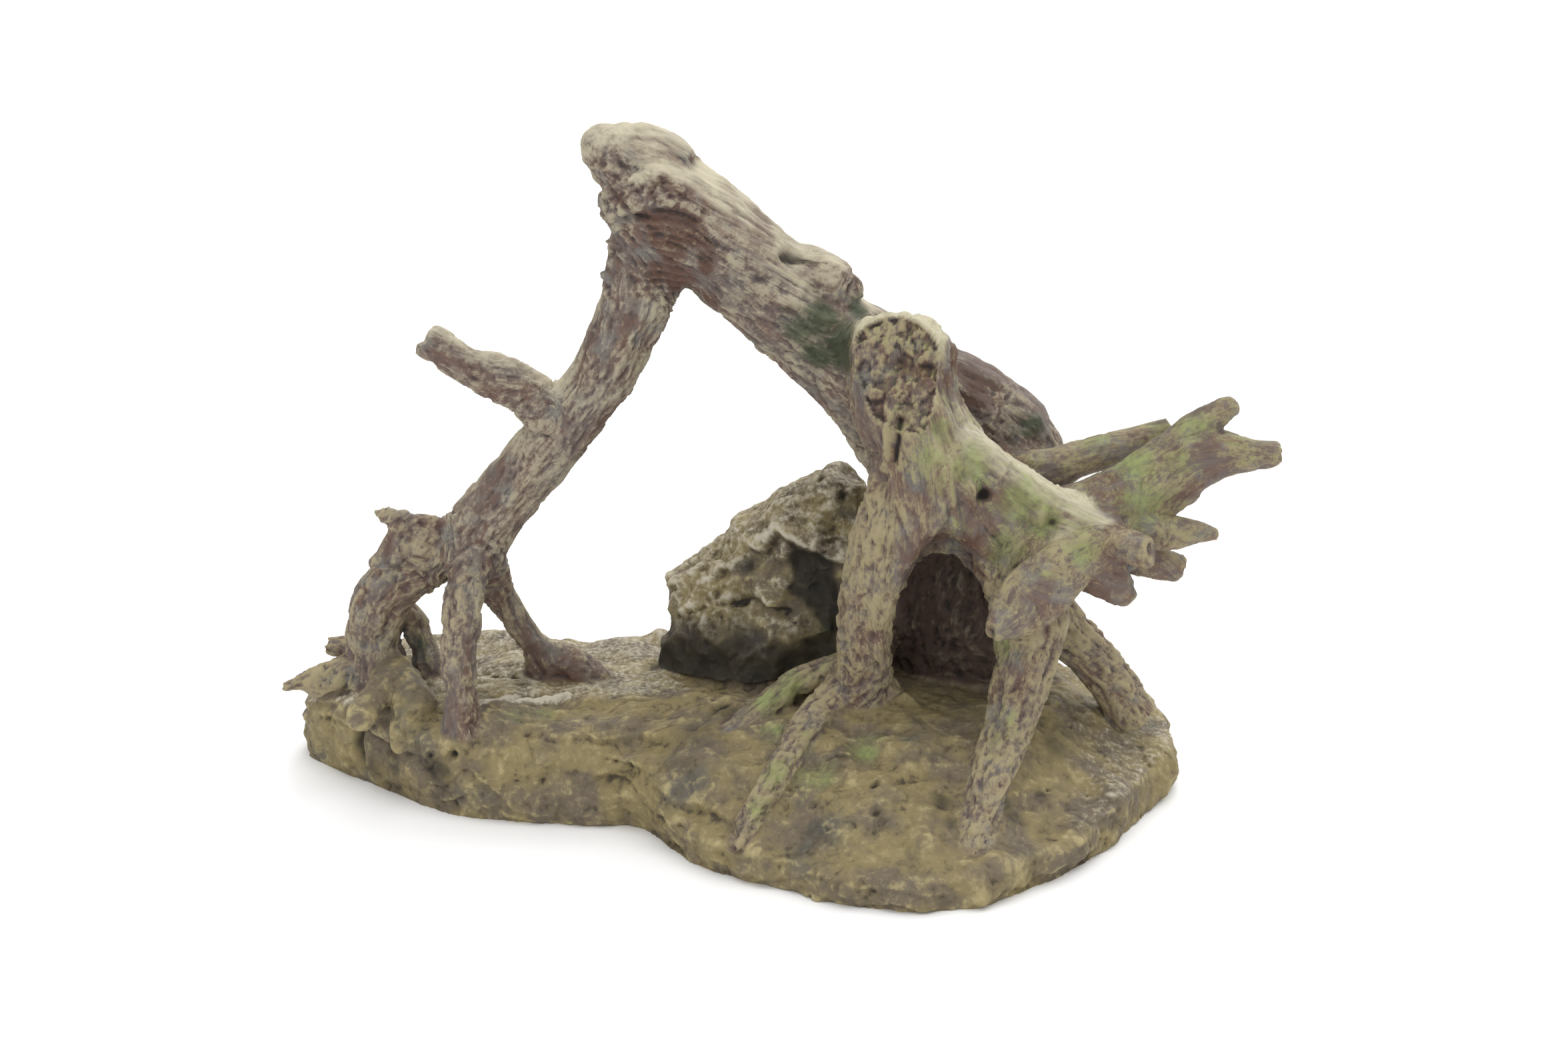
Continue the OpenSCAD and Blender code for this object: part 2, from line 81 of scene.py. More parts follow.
def add_camera():
    data = bpy.data.cameras.new("camera")
    data.lens = LENS_MM
    data.sensor_width = 36
    data.clip_start = 0.05
    camera = bpy.data.objects.new("camera", data)
    back = Vector((0, -math.cos(CAMERA_ELEVATION), math.sin(CAMERA_ELEVATION)))
    camera.location = CAMERA_AIM + CAMERA_DISTANCE * back
    camera.rotation_euler = (math.pi / 2 - CAMERA_ELEVATION, 0, 0)
    bpy.context.scene.collection.objects.link(camera)
    bpy.context.scene.camera = camera


def add_soft_sun(name, toward, spread, strength):
    """A wide soft light that shines along a direction."""
    data = bpy.data.lights.new(name, "SUN")
    data.angle = math.radians(spread)
    data.energy = strength
    lamp = bpy.data.objects.new(name, data)
    lamp.rotation_euler = Vector(toward).to_track_quat("-Z", "Y").to_euler()
    bpy.context.scene.collection.objects.link(lamp)


def add_studio():
    world = bpy.data.worlds.new("studio")
    world.use_nodes = True
    world.node_tree.nodes["Background"].inputs["Color"].default_value = (1, 1, 1, 1)
    world.node_tree.nodes["Background"].inputs["Strength"].default_value = 0.6
    bpy.context.scene.world = world
    bpy.context.scene.view_settings.view_transform = "Standard"
    add_soft_sun("overhead", (-0.15, -0.1, -1), 70, 2.0)
    add_soft_sun("front", (0.3, 1, -0.5), 60, 0.7)
    add_soft_sun("back", (-0.5, -1, -0.45), 50, 1.5)


def add_floor():
    bpy.ops.mesh.primitive_plane_add(size=6)
    floor = bpy.context.object
    floor.name = "floor"
    material = bpy.data.materials.new("pale_floor")
    material.use_nodes = True
    shader = material.node_tree.nodes["Principled BSDF"]
    shader.inputs["Base Color"].default_value = (0.93, 0.93, 0.93, 1)
    shader.inputs["Roughness"].default_value = 0.9
    floor.data.materials.append(material)


# ---- the skin as arrays -----------------------------------------------------


def read(items, key, width, kind=float):
    flat = np.empty(len(items) * width, kind)
    items.foreach_get(key, flat)
    return flat.reshape(-1, width) if width > 1 else flat


def ease(low, high, value):
    """0 below low, 1 above high, and a smooth step between."""
    share = np.clip((value - low) / (high - low), 0, 1)
    return share * share * (3 - 2 * share)


def node_triangles(name):
    mesh = frame["nodes"][name].data
    mesh.calc_loop_triangles()
    return read(mesh.vertices, "co", 3), read(mesh.loop_triangles, "vertices", 3, int)


class Skin:
    """One closed surface: arrays of its points, over a Blender mesh."""

    def __init__(self, mesh):
        self.mesh = mesh
        self.co = read(mesh.vertices, "co", 3)
        self.count = len(self.co)
        self.edges = read(mesh.edges, "vertices", 2, int)
        self.degree = np.bincount(self.edges.ravel(), minlength=self.count)
        self.refresh()

    def refresh(self):
        self.mesh.vertices.foreach_set("co", self.co.ravel())
        self.mesh.update()
        self.normal = read(self.mesh.vertex_normals, "vector", 3)

    def averaged(self, values, rounds=1):
        """Values, one row a point, after each takes its neighbours' mean a number of times."""
        a, b = self.edges.T
        columns = list(values.reshape(self.count, -1).T)
        for _ in range(rounds):
            for i, column in enumerate(columns):
                total = np.bincount(a, column[b], self.count)
                total += np.bincount(b, column[a], self.count)
                columns[i] = 0.5 * (column + total / self.degree)
        return np.stack(columns, 1).reshape(values.shape)

    def push(self, amount):
        """Moves every point along its normal."""
        self.co += self.normal * amount[:, None]
        self.refresh()

    def soften(self, share, rounds):
        """Moves every point a share of the way to its neighbours' mean."""
        self.co += share[:, None] * (self.averaged(self.co, rounds) - self.co)
        self.refresh()

    def bulge(self, rounds):
        """How far every point stands out from its neighbours' mean."""
        return ((self.co - self.averaged(self.co, rounds)) * self.normal).sum(1)

    def seams(self, apart, spread):
        """1 on the seams between pieces that differ in apart, fading over some rounds."""
        a, b = self.edges[(apart[self.edges[:, 0]] != apart[self.edges[:, 1]])].T
        line = np.zeros(self.count)
        line[a] = line[b] = 1
        return np.clip(self.averaged(line, spread) * 0.9 * math.sqrt(spread), 0, 1)


def fused_mesh():
    """One closed mesh round all CAD nodes, without the pegs and sockets inside."""
    points, triangles, total = [], [], 0
    for name in frame["nodes"]:
        co, tris = node_triangles(name)
        points.append(co)
        triangles.append(tris + total)
        total += len(co)
    mesh = bpy.data.meshes.new("joined")
    mesh.from_pydata(np.vstack(points).tolist(), [], np.vstack(triangles).tolist())
    joined = bpy.data.objects.new("joined", mesh)
    bpy.context.scene.collection.objects.link(joined)
    remesh = joined.modifiers.new("remesh", "REMESH")
    remesh.mode = "VOXEL"
    remesh.voxel_size = VOXEL
    graph = bpy.context.evaluated_depsgraph_get()
    skin = bpy.data.meshes.new_from_object(joined.evaluated_get(graph))
    bpy.data.objects.remove(joined)
    bpy.data.meshes.remove(mesh)
    return skin


def cleaned(mesh):
    """The skin's points and faces without loose crumbs and without the flat underside."""
    points = read(mesh.vertices, "co", 3)
    edges = read(mesh.edges, "vertices", 2, int)
    label = np.arange(len(points))
    while True:
        lower = label.copy()
        np.minimum.at(lower, edges[:, 0], label[edges[:, 1]])
        np.minimum.at(lower, edges[:, 1], label[edges[:, 0]])
        lower = lower[lower]
        if (lower == label).all():
            break
        label = lower
    faces = read(mesh.loops, "vertex_index", 1, int).reshape(-1, 4)
    whole = label[faces[:, 0]] == np.bincount(label).argmax()
    under = (points[faces][:, :, 2] < UNDERSIDE).all(1)
    faces = faces[whole & ~under]
    used, faces = np.unique(faces, return_inverse=True)
    faces = faces.reshape(-1, 4)
    clean = bpy.data.meshes.new("skin")
    clean.from_pydata(points[used].tolist(), [], faces.tolist())
    bpy.data.meshes.remove(mesh)
    return clean, faces


def nearest_nodes(co):
    """The number of the CAD node that lies nearest to each point."""
    points, triangles, owner, total = [], [], [], 0
    for number, name in enumerate(frame["nodes"]):
        own, tris = node_triangles(name)
        points += own.tolist()
        triangles += (tris + total).tolist()
        owner += [number] * len(tris)
        total += len(own)
    tree = BVHTree.FromPolygons(points, triangles)
    return np.array([owner[tree.find_nearest(p)[2]] for p in co.tolist()])


# ---- grain ------------------------------------------------------------------

GUIDE_POINTS = 9
SAMPLES = 1500
STRETCH = 0.2  # how far the grain pattern runs across a limb for each step along it
ALONG = np.array([0.35, 0.55, 0.76])


def samples(name):
    """Points spread evenly over a CAD node's surface."""
    co, tris = node_triangles(name)
    a, b, c = co[tris].transpose(1, 0, 2)
    area = np.linalg.norm(np.cross(b - a, c - a), axis=1)
    rng = np.random.default_rng(SAMPLE_SEED)
    pick = rng.choice(len(tris), SAMPLES, p=area / area.sum())
    s, t = rng.random((2, SAMPLES, 1))
    s, t = np.where(s + t > 1, 1 - s, s), np.where(s + t > 1, 1 - t, t)
    return a[pick] + s * (b - a)[pick] + t * (c - a)[pick]


def middle_line(name):
    """A line of points through the middle of a limb, found from its surface."""
    points = samples(name)
    axis = np.linalg.svd(points - points.mean(0), full_matrices=False)[2][0]
    order = points[np.argsort(points @ axis)]
    line = np.array([part.mean(0) for part in np.array_split(order, GUIDE_POINTS)])
    for _ in range(10):
        nearest = np.linalg.norm(points[:, None] - line, axis=2).argmin(1)
        for i in range(GUIDE_POINTS):
            if (nearest == i).any():
                line[i] = points[nearest == i].mean(0)
        line[1:-1] = 0.5 * line[1:-1] + 0.25 * (line[:-2] + line[2:])
    line[0] += 0.6 * (line[0] - line[1])
    line[-1] += 0.6 * (line[-1] - line[-2])
    gap, _, _ = to_line(points, line)
    return line, gap.mean()


def to_line(points, line):
    """How far points are from a line of points, the nearest spots on it, and their way along."""
    best = np.full(len(points), np.inf)
    spot, way = np.zeros_like(points), np.zeros(len(points))
    before = 0.0
    for a, b in zip(line[:-1], line[1:]):
        step = b - a
        length = np.linalg.norm(step)
        share = np.clip((points - a) @ step / length**2, 0, 1)
        there = a + share[:, None] * step
        gap = np.linalg.norm(points - there, axis=1)
        closer = gap < best
        best[closer] = gap[closer]
        spot[closer] = there[closer]
        way[closer] = before + share[closer] * length
        before += length
    return best, spot, way


def at(node, x, y, z):
    """The point at these shares of a node's box."""
    low, high = (np.array(corner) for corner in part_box(node))
    return low + np.array([x, y, z]) * (high - low)


def shares(points, node):
    """Points in metres as shares of a node's box."""
    low, high = (np.array(corner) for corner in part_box(node))
    return (points - low) / (high - low)


def guide_lines():
    """Centre lines of every limb, each going on from the one that carries it."""
    guides = []
    for name in frame["nodes"]:
        if name in ROCKS or name == "stump":
            continue
        guides.append(middle_line(name))
    trunk = [(0.19, 0.75, 1), (0.2, 0.6, 0.78), (0.28, 0.5, 0.46), (0.36, 0.45, 0.1)]
    ridge = [(0.32, 0.45, 0.48), (0.52, 0.4, 0.3), (0.72, 0.3, 0.2), (0.98, 0.27, 0.14)]
    guides.append((np.array([at("stump", *p) for p in trunk]), 15 * MM))
    guides.append((np.array([at("stump", *p) for p in ridge]), 10 * MM))
    return guides


class Grain:
    """Coordinates, in millimetres, in which the grain of the wood runs straight."""

    def __init__(self, co):
        weight = np.full(len(co), 1e-9)
        self.coords = co / MM * 1e-9
        self.radius = np.full(len(co), 9 * MM * 1e-9)
        for line, radius in guide_lines():
            low, high = line.min(0) - 3 * radius, line.max(0) + 3 * radius
            rows = np.flatnonzero(((co > low) & (co < high)).all(1))
            gap, spot, way = to_line(co[rows], line)
            w = np.exp(-4 * ((gap / radius) ** 2 - 1))
            across = (co[rows] - spot) / MM
            weight[rows] += w
            self.coords[rows] += w[:, None] * (across + STRETCH * (way / MM)[:, None] * ALONG)
            self.radius[rows] += w * radius
        self.coords /= weight[:, None]
        self.radius /= weight


# ---- relief -----------------------------------------------------------------


def fractal(points, wavelength, octaves=1, seed=0):
    """Fractal noise, about -1 to 1, at points in millimetres."""
    scaled = (points / wavelength + 17.3 * seed).tolist()
    if octaves == 1:
        return np.array([noise.noise(p) for p in scaled])
    return np.array([noise.fractal(p, 1.0, 2.0, octaves) for p in scaled])


def lumpy(points, wavelength, octaves=4, seed=0):
    """Rounded lumps with creases between them, about -1 to 1, at points in millimetres."""
    scaled = (points / wavelength + 17.3 * seed).tolist()
    lumps = np.array([noise.turbulence(p, octaves, True, amplitude_scale=0.55) for p in scaled])
    return 2.4 * (lumps - lumps.mean())


def wood_relief(skin, grain, wood, calm):
    """Bark and bare wood, softer where it is calm."""
    rows = np.flatnonzero(wood > 0.02)
    place = skin.co[rows] / MM
    fibre = grain.coords[rows]
    rough = 1 - calm[rows]
    girth = np.clip(grain.radius[rows] / (9 * MM), 0.35, 1.3)
    lumps = 0.9 * fractal(place, 14, 2)
    flutes = (0.3 + 0.5 * rough) * fractal(fibre, 5, 2, 1)
    flake = fractal(0.5 * fibre + 0.5 * place, 2.6, 4, 2)
    plates = (0.12 + 0.4 * rough) * (ease(-0.1, 0.12, flake) - ease(0.2, 0.5, -flake))
    wrinkles = (0.08 + 0.12 * rough) * fractal(fibre, 1.5, 2, 3)
    amount = np.zeros(skin.count)
    amount[rows] = wood[rows] * MM * (girth * (lumps + flutes) + plates + wrinkles - 0.15)
    return amount


def rock_relief(skin, rock):
    """Weathered stone: swells, lumps with creases between them, and strata where it is steep."""
    rows = np.flatnonzero(rock > 0.02)
    place = skin.co[rows] / MM
    steep = 1 - ease(0.35, 0.75, skin.normal[rows, 2])
    tall = place * [1, 1, 0.6]
    swells = 2.4 * fractal(place, 30, 2, 4) + (1.0 + 0.6 * steep) * fractal(tall, 12, 2, 9)
    rough = ease(-0.25, 0.35, fractal(place, 22, 2, 14))
    lumps = (0.1 + 0.3 * rough) * lumpy(tall, 11, 3, 3)
    lumps += 0.55 * fractal(place * [0.35, 1, 0.8], 4, 3, 23)
    lumps -= (0.5 + 0.5 * steep) * lumpy(place, 19, 4, 18)
    grit = (0.1 + 0.2 * rough) * fractal(place, 2.6, 3, 6)
    grit -= 1.0 * rough * ease(0.45, 0.7, fractal(place * [0.7, 1, 1], 5, 3, 21))
    layer = place[:, 2] / 7 + 1.5 * fractal(place, 30, 3, 5)
    layer -= np.floor(layer)
    steps = 1.1 * steep * (ease(0.4, 0.6, layer) - layer) * ease(-0.2, 0.2, fractal(place, 20, 1, 10))
    amount = np.zeros(skin.count)
    amount[rows] = rock[rows] * MM * (swells + lumps + steps + grit)
    return amount


def boulder_relief(skin, rock):
    """Crags, crumbled stone and pits."""
    rows = np.flatnonzero(rock > 0.02)
    place = skin.co[rows] / MM
    rough = ease(-0.3, 0.3, fractal(place, 16, 2, 15))
    crags = -2.6 * lumpy(place, 26, 3, 7) + 0.4 * rough * lumpy(place, 9, 3, 8)
    crags += (0.4 + 0.5 * rough) * fractal(place, 8, 4, 16)
    grit = 0.3 * fractal(place, 2.4, 3, 8) - 0.8 * rough * ease(0.4, 0.7, fractal(place, 5, 3, 22))
    amount = np.zeros(skin.count)
    amount[rows] = rock[rows] * MM * (crags + grit)
    return amount


# ---- features ---------------------------------------------------------------

# Places are a node's name and shares of its box. Sizes are in millimetres.


def through(node, *places):
    """A line through places on one node."""
    return [(node, place) for place in places]


# The torn collar of bark under the crown, its shadow, the crust on it, and its frayed end
COLLAR = through(
    "main_log", (0.05, 0.08, 0.865), (0.08, 0.02, 0.875), (0.11, 0.01, 0.885), (0.14, 0.01, 0.89),
    (0.18, 0.01, 0.89), (0.22, 0.03, 0.875))
COLLAR_SHADE = through(
    "main_log", (0.07, 0.02, 0.86), (0.11, 0.01, 0.868), (0.14, 0.01, 0.873), (0.18, 0.01, 0.873),
    (0.21, 0.03, 0.86))
CRUST = through(
    "main_log", (0.05, 0.06, 0.9), (0.09, 0.04, 0.91), (0.13, 0.03, 0.92), (0.17, 0.02, 0.905))
FRAY = through("main_log", (0.06, 0.09, 0.85)) + through(
    "left_limb", (0.73, 0.2, 0.97), (0.71, 0.2, 0.92), (0.7, 0.2, 0.87), (0.68, 0.15, 0.83))

# The bark lip beside the stump's break, its crack, the ridge, and a raised edge of the ledge with a
# painted highlight
LIP = through("stump", (0.16, 0.21, 0.65), (0.15, 0.17, 0.57), (0.14, 0.21, 0.43))
LIP_CRACK = through("stump", (0.19, 0.2, 0.64), (0.18, 0.14, 0.55), (0.17, 0.16, 0.47))
CREST = through(
    "stump", (0.33, 0.23, 0.68), (0.48, 0.24, 0.51), (0.65, 0.17, 0.38), (0.8, 0.09, 0.26))
HIGHLIT_EDGE = through(
    "rock_base", (0.21, 0.565, 0.81), (0.24, 0.585, 0.8), (0.27, 0.605, 0.79), (0.31, 0.625, 0.79))

# x, y, z, radius, height
BUMPS = {
    "main_log": [
        (0.46, 0.2, 0.765, 8, 1.2), (0.02, 0.3, 0.97, 11, 4.5), (0.1, 0.3, 0.99, 12, 1.5),
        (0.82, 0.29, 0.5, 5, 2.0), (0.91, 0.37, 0.49, 4.5, 1.8), (0.86, 0.32, 0.45, 4, 1.6),
    ],
    "rock_base": [
        (0.41, 0.96, 0.8, 6, 4), (0.27, 0.97, 0.8, 5, 2), (0.68, 0.93, 0.8, 7, 3),
        (0.69, 0.49, 0.98, 5, 1.8), (0.13, 0.55, 0.6, 9, 2.2), (0.035, 0.68, 0.5, 14, 3.5),
        (0.1, 0.58, 0.3, 9, 2.0), (0.155, 0.49, 0.62, 8, 2.0), (0.27, 0.43, 0.5, 16, 2.5),
        (0.47, 0.3, 0.6, 14, 2.0),
    ],
    "stump": [(0.44, 0.11, 0.36, 5, 5.5), (0.69, 0.05, 0.255, 4.5, 4)],
    "arch_leg_left": [(0.9, 0.81, 0.27, 5, 2.0)],
}

# x, y, z, radius, depth
HOLES = {
    "main_log": [(0.39, 0.18, 0.79, 2.4, 1.0)],
    "stump": [(0.49, 0.1, 0.335, 3.6, 3.0), (0.74, 0.05, 0.23, 3, 1.8), (0.55, 0.14, 0.18, 3, 1.8)],
    "antler_ring": [(0.93, 0.12, 0.66, 3.4, 3.4)],
    "antler_upper": [(0.97, 0.35, 0.93, 3, 1.6), (0.9, 0.3, 0.8, 2.6, 1.4)],
    "antler_rear": [(0.99, 0.5, 0.96, 2, 1.2)],
    "antler_low": [(0.98, 0.5, 0.6, 1.8, 0.8)],
    "antler_ragged": [
        (0.97, 0.3, 0.5, 3.4, 2.2), (0.75, 0.2, 0.2, 3.4, 2.0), (0.6, 0.1, 0.4, 3, 1.6),
    ],
    "side_stub": [(0.03, 0.5, 0.95, 2.6, 1.4)],
    "club_root": [(0.03, 0.06, 0.08, 3.5, 2.6)],
    "antler_long": [(0.99, 0.5, 0.77, 2.2, 1.2), (0.33, 0.31, 0.24, 1.6, 1.0)],
    "rock_base": [
        (0.19, 0.45, 0.56, 2.2, 2.4), (0.36, 0.4, 0.63, 1.5, 1.6), (0.37, 0.4, 0.59, 1.6, 1.6),
        (0.385, 0.39, 0.58, 1.4, 1.4), (0.29, 0.41, 0.4, 2.0, 1.6), (0.25, 0.71, 0.78, 2.6, 2.0),
        (0.65, 0.22, 0.71, 2.2, 1.6), (0.65, 0.16, 0.6, 2.4, 1.6),
    ],
    "boulder": [
        (0.66, 0.06, 0.55, 13, 5.0), (0.58, 0.1, 0.64, 9, 3.0), (0.73, 0.07, 0.4, 11, 3.0),
        (0.48, 0.14, 0.6, 6, 1.6), (0.35, 0.2, 0.45, 5, 1.6), (0.28, 0.3, 0.62, 4, 1.4),
        (0.38, 0.18, 0.6, 4, 1.8), (0.75, 0.25, 0.9, 4, 2.0),
    ],
}

# line, radius, depth
GROOVES = [
    (through("main_log", (0.4, 0.22, 0.785), (0.43, 0.24, 0.785), (0.455, 0.24, 0.78)), 4.6, 2.8),
    (through("rock_base", (0.36, 0.56, 0.77), (0.38, 0.6, 0.78), (0.4, 0.6, 0.8)), 1.6, 1.4),
    (through("rock_base", (0.21, 0.56, 0.8), (0.25, 0.59, 0.79), (0.285, 0.64, 0.79)), 1.8, 1.6),
    (through("rock_base", (0.67, 0.22, 0.73), (0.69, 0.24, 0.74), (0.73, 0.26, 0.76)), 3, 1.0),
    (through("rock_base", (0.49, 0.52, 0.85), (0.475, 0.47, 0.8), (0.455, 0.43, 0.75)), 3, 1.6),
    (through("rock_base", (0.07, 0.64, 0.8), (0.075, 0.61, 0.45), (0.08, 0.6, 0.15)), 3.5, 2.6),
    (through("rock_base", (0.205, 0.46, 0.6), (0.2, 0.45, 0.35), (0.19, 0.45, 0.1)), 4, 1.8),
    (through("rock_base", (0.41, 0.4, 0.35), (0.43, 0.33, 0.3), (0.44, 0.28, 0.2)), 5, 1.8),
]

# line, rise above it, drop below it, reach
LEDGES = [
    (through("boulder", (0.42, 0.2, 0.66), (0.5, 0.16, 0.73), (0.58, 0.12, 0.7), (0.68, 0.1, 0.65),
             (0.8, 0.11, 0.6)), 2.4, 1.6, 9),
    (through("boulder", (0.25, 0.29, 0.56), (0.22, 0.26, 0.49), (0.18, 0.23, 0.42),
             (0.13, 0.23, 0.36)), 1.4, 1.4, 6),
    (through("boulder", (0.3, 0.25, 0.45), (0.38, 0.2, 0.48), (0.5, 0.12, 0.42)), 1.0, 1.6, 7),
    (through("rock_base", (0.28, 0.47, 0.73), (0.33, 0.45, 0.71), (0.38, 0.44, 0.73),
             (0.42, 0.42, 0.75)), 0.9, 0.9, 6),
    (through("rock_base", (0.43, 0.36, 0.5), (0.45, 0.26, 0.45), (0.48, 0.2, 0.42)), 1.0, 1.2, 8),
    (through("rock_base", (0.05, 0.68, 0.52), (0.1, 0.6, 0.52), (0.14, 0.53, 0.48)), 1.2, 1.4, 7),
]

# x, y, z, radius, strength
MOSS_SPOTS = {
    "stump": [
        (0.33, 0.16, 0.6, 11, 0.8), (0.46, 0.17, 0.46, 13, 0.9), (0.62, 0.09, 0.32, 15, 1.0),
        (0.3, 0.09, 0.49, 11, 0.75), (0.34, 0.05, 0.38, 9, 0.6), (0.7, 0.06, 0.24, 10, 1.0),
        (0.85, 0.1, 0.2, 13, 0.6), (0.4, 0.05, 0.22, 11, 0.5),
    ],
    "antler_upper": [(0.45, 0.4, 0.5, 15, 1.0), (0.75, 0.4, 0.8, 13, 0.75)],
    "antler_long": [(0.45, 0.3, 0.8, 15, 0.65), (0.28, 0.1, 0.4, 14, 0.9)],
    "antler_low": [(0.2, 0.3, 0.7, 11, 0.6)],
    "antler_rear": [(0.6, 0.5, 0.85, 15, 0.7), (0.95, 0.5, 0.95, 12, 0.7)],
    "club_root": [(0.79, 0.55, 0.77, 11, 0.9), (0.45, 0.3, 0.6, 11, 0.5)],
    "arch_leg_right": [
        (0.42, 0.73, 0.95, 12, 0.8), (0.35, 0.73, 0.6, 13, 0.9), (0.4, 0.49, 0.38, 12, 0.7),
        (0.3, 0.4, 0.3, 8, 0.4),
    ],
    "arch_leg_left": [
        (0.24, 0.2, 0.2, 9, 0.9), (0.16, 0.1, 0.12, 8, 0.7), (0.4, 0.45, 0.25, 9, 0.4),
    ],
    "creeping_root": [
        (0.25, 0.2, 0.4, 11, 1.0), (0.36, 0.3, 0.55, 11, 0.9), (0.6, 0.6, 0.75, 11, 0.5),
    ],
    "rock_base": [
        (0.59, 0.25, 0.73, 13, 0.75), (0.64, 0.32, 0.83, 11, 0.8), (0.29, 0.56, 0.79, 9, 0.6),
        (0.26, 0.53, 0.78, 9, 0.45), (0.54, 0.4, 0.86, 9, 0.5),
    ],
    "left_limb": [(0.85, 0.3, 0.6, 13, 0.3)],
}
DARK_MOSS_SPOTS = {
    "main_log": [
        (0.42, 0.1, 0.67, 11, 0.9), (0.47, 0.14, 0.69, 12, 1.0), (0.51, 0.14, 0.65, 13, 1.0),
        (0.46, 0.13, 0.63, 11, 1.0), (0.54, 0.27, 0.69, 9, 0.9), (0.91, 0.37, 0.49, 8, 0.9),
        (0.86, 0.32, 0.46, 6, 0.7),
    ],
    "boulder": [(0.69, 0.04, 0.34, 7, 0.9)],
    "rock_base": [(0.97, 0.65, 0.5, 9, 0.6)],
    "rear_foot": [(0.6, 0.3, 0.4, 7, 0.7)],
    "arch_leg_left": [(0.06, 0.06, 0.1, 6, 0.5)],
}
# Reddish brown paint; on the log's right end, on the neck right of the break and under the rear
# antler it is painted shade as well
RUST_AND_SHADE_SPOTS = {
    "main_log": [
        (0.14, 0.01, 0.86, 9, 0.9), (0.18, 0.01, 0.83, 9, 0.9), (0.08, 0.04, 0.9, 7, 0.8),
        (0.13, 0.03, 0.92, 6, 0.9), (0.24, 0.03, 0.8, 8, 0.6), (0.44, 0.24, 0.785, 5, 0.9),
        (0.78, 0.27, 0.55, 16, 0.7),
    ],
    "left_limb": [(0.9, 0.1, 0.9, 12, 0.8), (0.8, 0.1, 0.75, 12, 0.6), (0.72, 0.25, 0.9, 7, 0.9)],
    "stump": [
        (0.2, 0.42, 0.84, 9, 0.9), (0.28, 0.36, 0.8, 9, 0.9), (0.18, 0.3, 0.74, 9, 0.7),
        (0.44, 0.12, 0.14, 12, 0.9), (0.5, 0.1, 0.34, 6, 0.9), (0.36, 0.16, 0.08, 14, 0.95),
        (0.24, 0.12, 0.08, 8, 0.7), (0.39, 0.6, 0.84, 10, 0.9), (0.37, 0.42, 0.76, 8, 0.8),
    ],
    "arch_leg_right": [(0.2, 0.85, 0.85, 10, 0.8), (0.6, 0.6, 0.5, 8, 0.5)],
    "arch_leg_left": [(0.97, 0.8, 0.8, 9, 0.6)],
    "outer_foot": [(0.6, 0.3, 0.2, 10, 0.8), (0.2, 0.3, 0.9, 9, 0.5)],
    "inner_foot": [(0.7, 0.4, 0.1, 12, 0.8)],
    "creeping_root": [(0.75, 0.6, 0.7, 11, 0.7)],
    "arch_leg_rear": [(0.7, 0.3, 0.4, 13, 0.6)],
    "front_foot": [(0.4, 0.2, 0.1, 8, 0.5)],
    "antler_rear": [(0.4, 0.3, 0.3, 11, 0.8)],
}
SHADE_SPOTS = {
    "boulder": [
        (0.64, 0.08, 0.58, 10, 0.6), (0.7, 0.09, 0.48, 10, 0.7), (0.75, 0.1, 0.4, 11, 0.8),
        (0.56, 0.12, 0.64, 7, 0.5), (0.55, 0.12, 0.45, 11, 0.4), (0.37, 0.21, 0.59, 6, 0.7),
        (0.75, 0.25, 0.88, 6, 0.6),
    ],
    "stump": [
        (0.4, 0.6, 0.8, 9, 0.3), (0.2, 0.42, 0.84, 5, 0.3), (0.29, 0.38, 0.82, 4, 0.4),
        (0.495, 0.1, 0.335, 4, 0.9), (0.745, 0.04, 0.23, 3, 0.8), (0.55, 0.14, 0.18, 3, 0.8),
    ],
    "main_log": [
        (0.78, 0.27, 0.55, 16, 0.3), (0.86, 0.3, 0.48, 11, 0.4), (0.43, 0.25, 0.785, 4, 0.5),
    ],
    "antler_rear": [(0.45, 0.2, 0.2, 10, 0.7), (0.8, 0.2, 0.4, 8, 0.7)],
    "rock_base": [
        (0.46, 0.4, 0.79, 17, 0.55), (0.49, 0.48, 0.84, 15, 0.6), (0.25, 0.71, 0.78, 3, 0.9),
        (0.73, 0.15, 0.51, 7, 0.6), (0.8, 0.2, 0.5, 8, 0.6), (0.79, 0.11, 0.3, 9, 0.5),
        (0.7, 0.09, 0.39, 9, 0.4), (0.79, 0.07, 0.23, 6, 0.6), (0.51, 0.15, 0.22, 7, 0.6),
        (0.86, 0.48, 0.74, 10, 0.5), (0.72, 0.19, 0.62, 7, 0.8), (0.71, 0.16, 0.55, 5, 0.5),
        (0.79, 0.22, 0.55, 7, 0.7), (0.79, 0.18, 0.45, 6, 0.5), (0.78, 0.08, 0.25, 8, 0.6),
        (0.09, 0.57, 0.2, 10, 0.6), (0.17, 0.47, 0.4, 11, 0.7), (0.075, 0.61, 0.4, 6, 0.6),
        (0.44, 0.36, 0.6, 15, 0.4), (0.42, 0.38, 0.3, 9, 0.4), (0.12, 0.53, 0.3, 8, 0.6),
        (0.85, 0.42, 0.74, 9, 0.6), (0.14, 0.51, 0.54, 3, 0.8), (0.19, 0.45, 0.56, 3, 0.9),
    ],
    "antler_ring": [(0.9, 0.12, 0.62, 3, 0.9)],
    "club_root": [(0.03, 0.06, 0.08, 4, 0.9)],
    "arch_leg_left": [(0.05, 0.06, 0.07, 6, 0.5)],
}


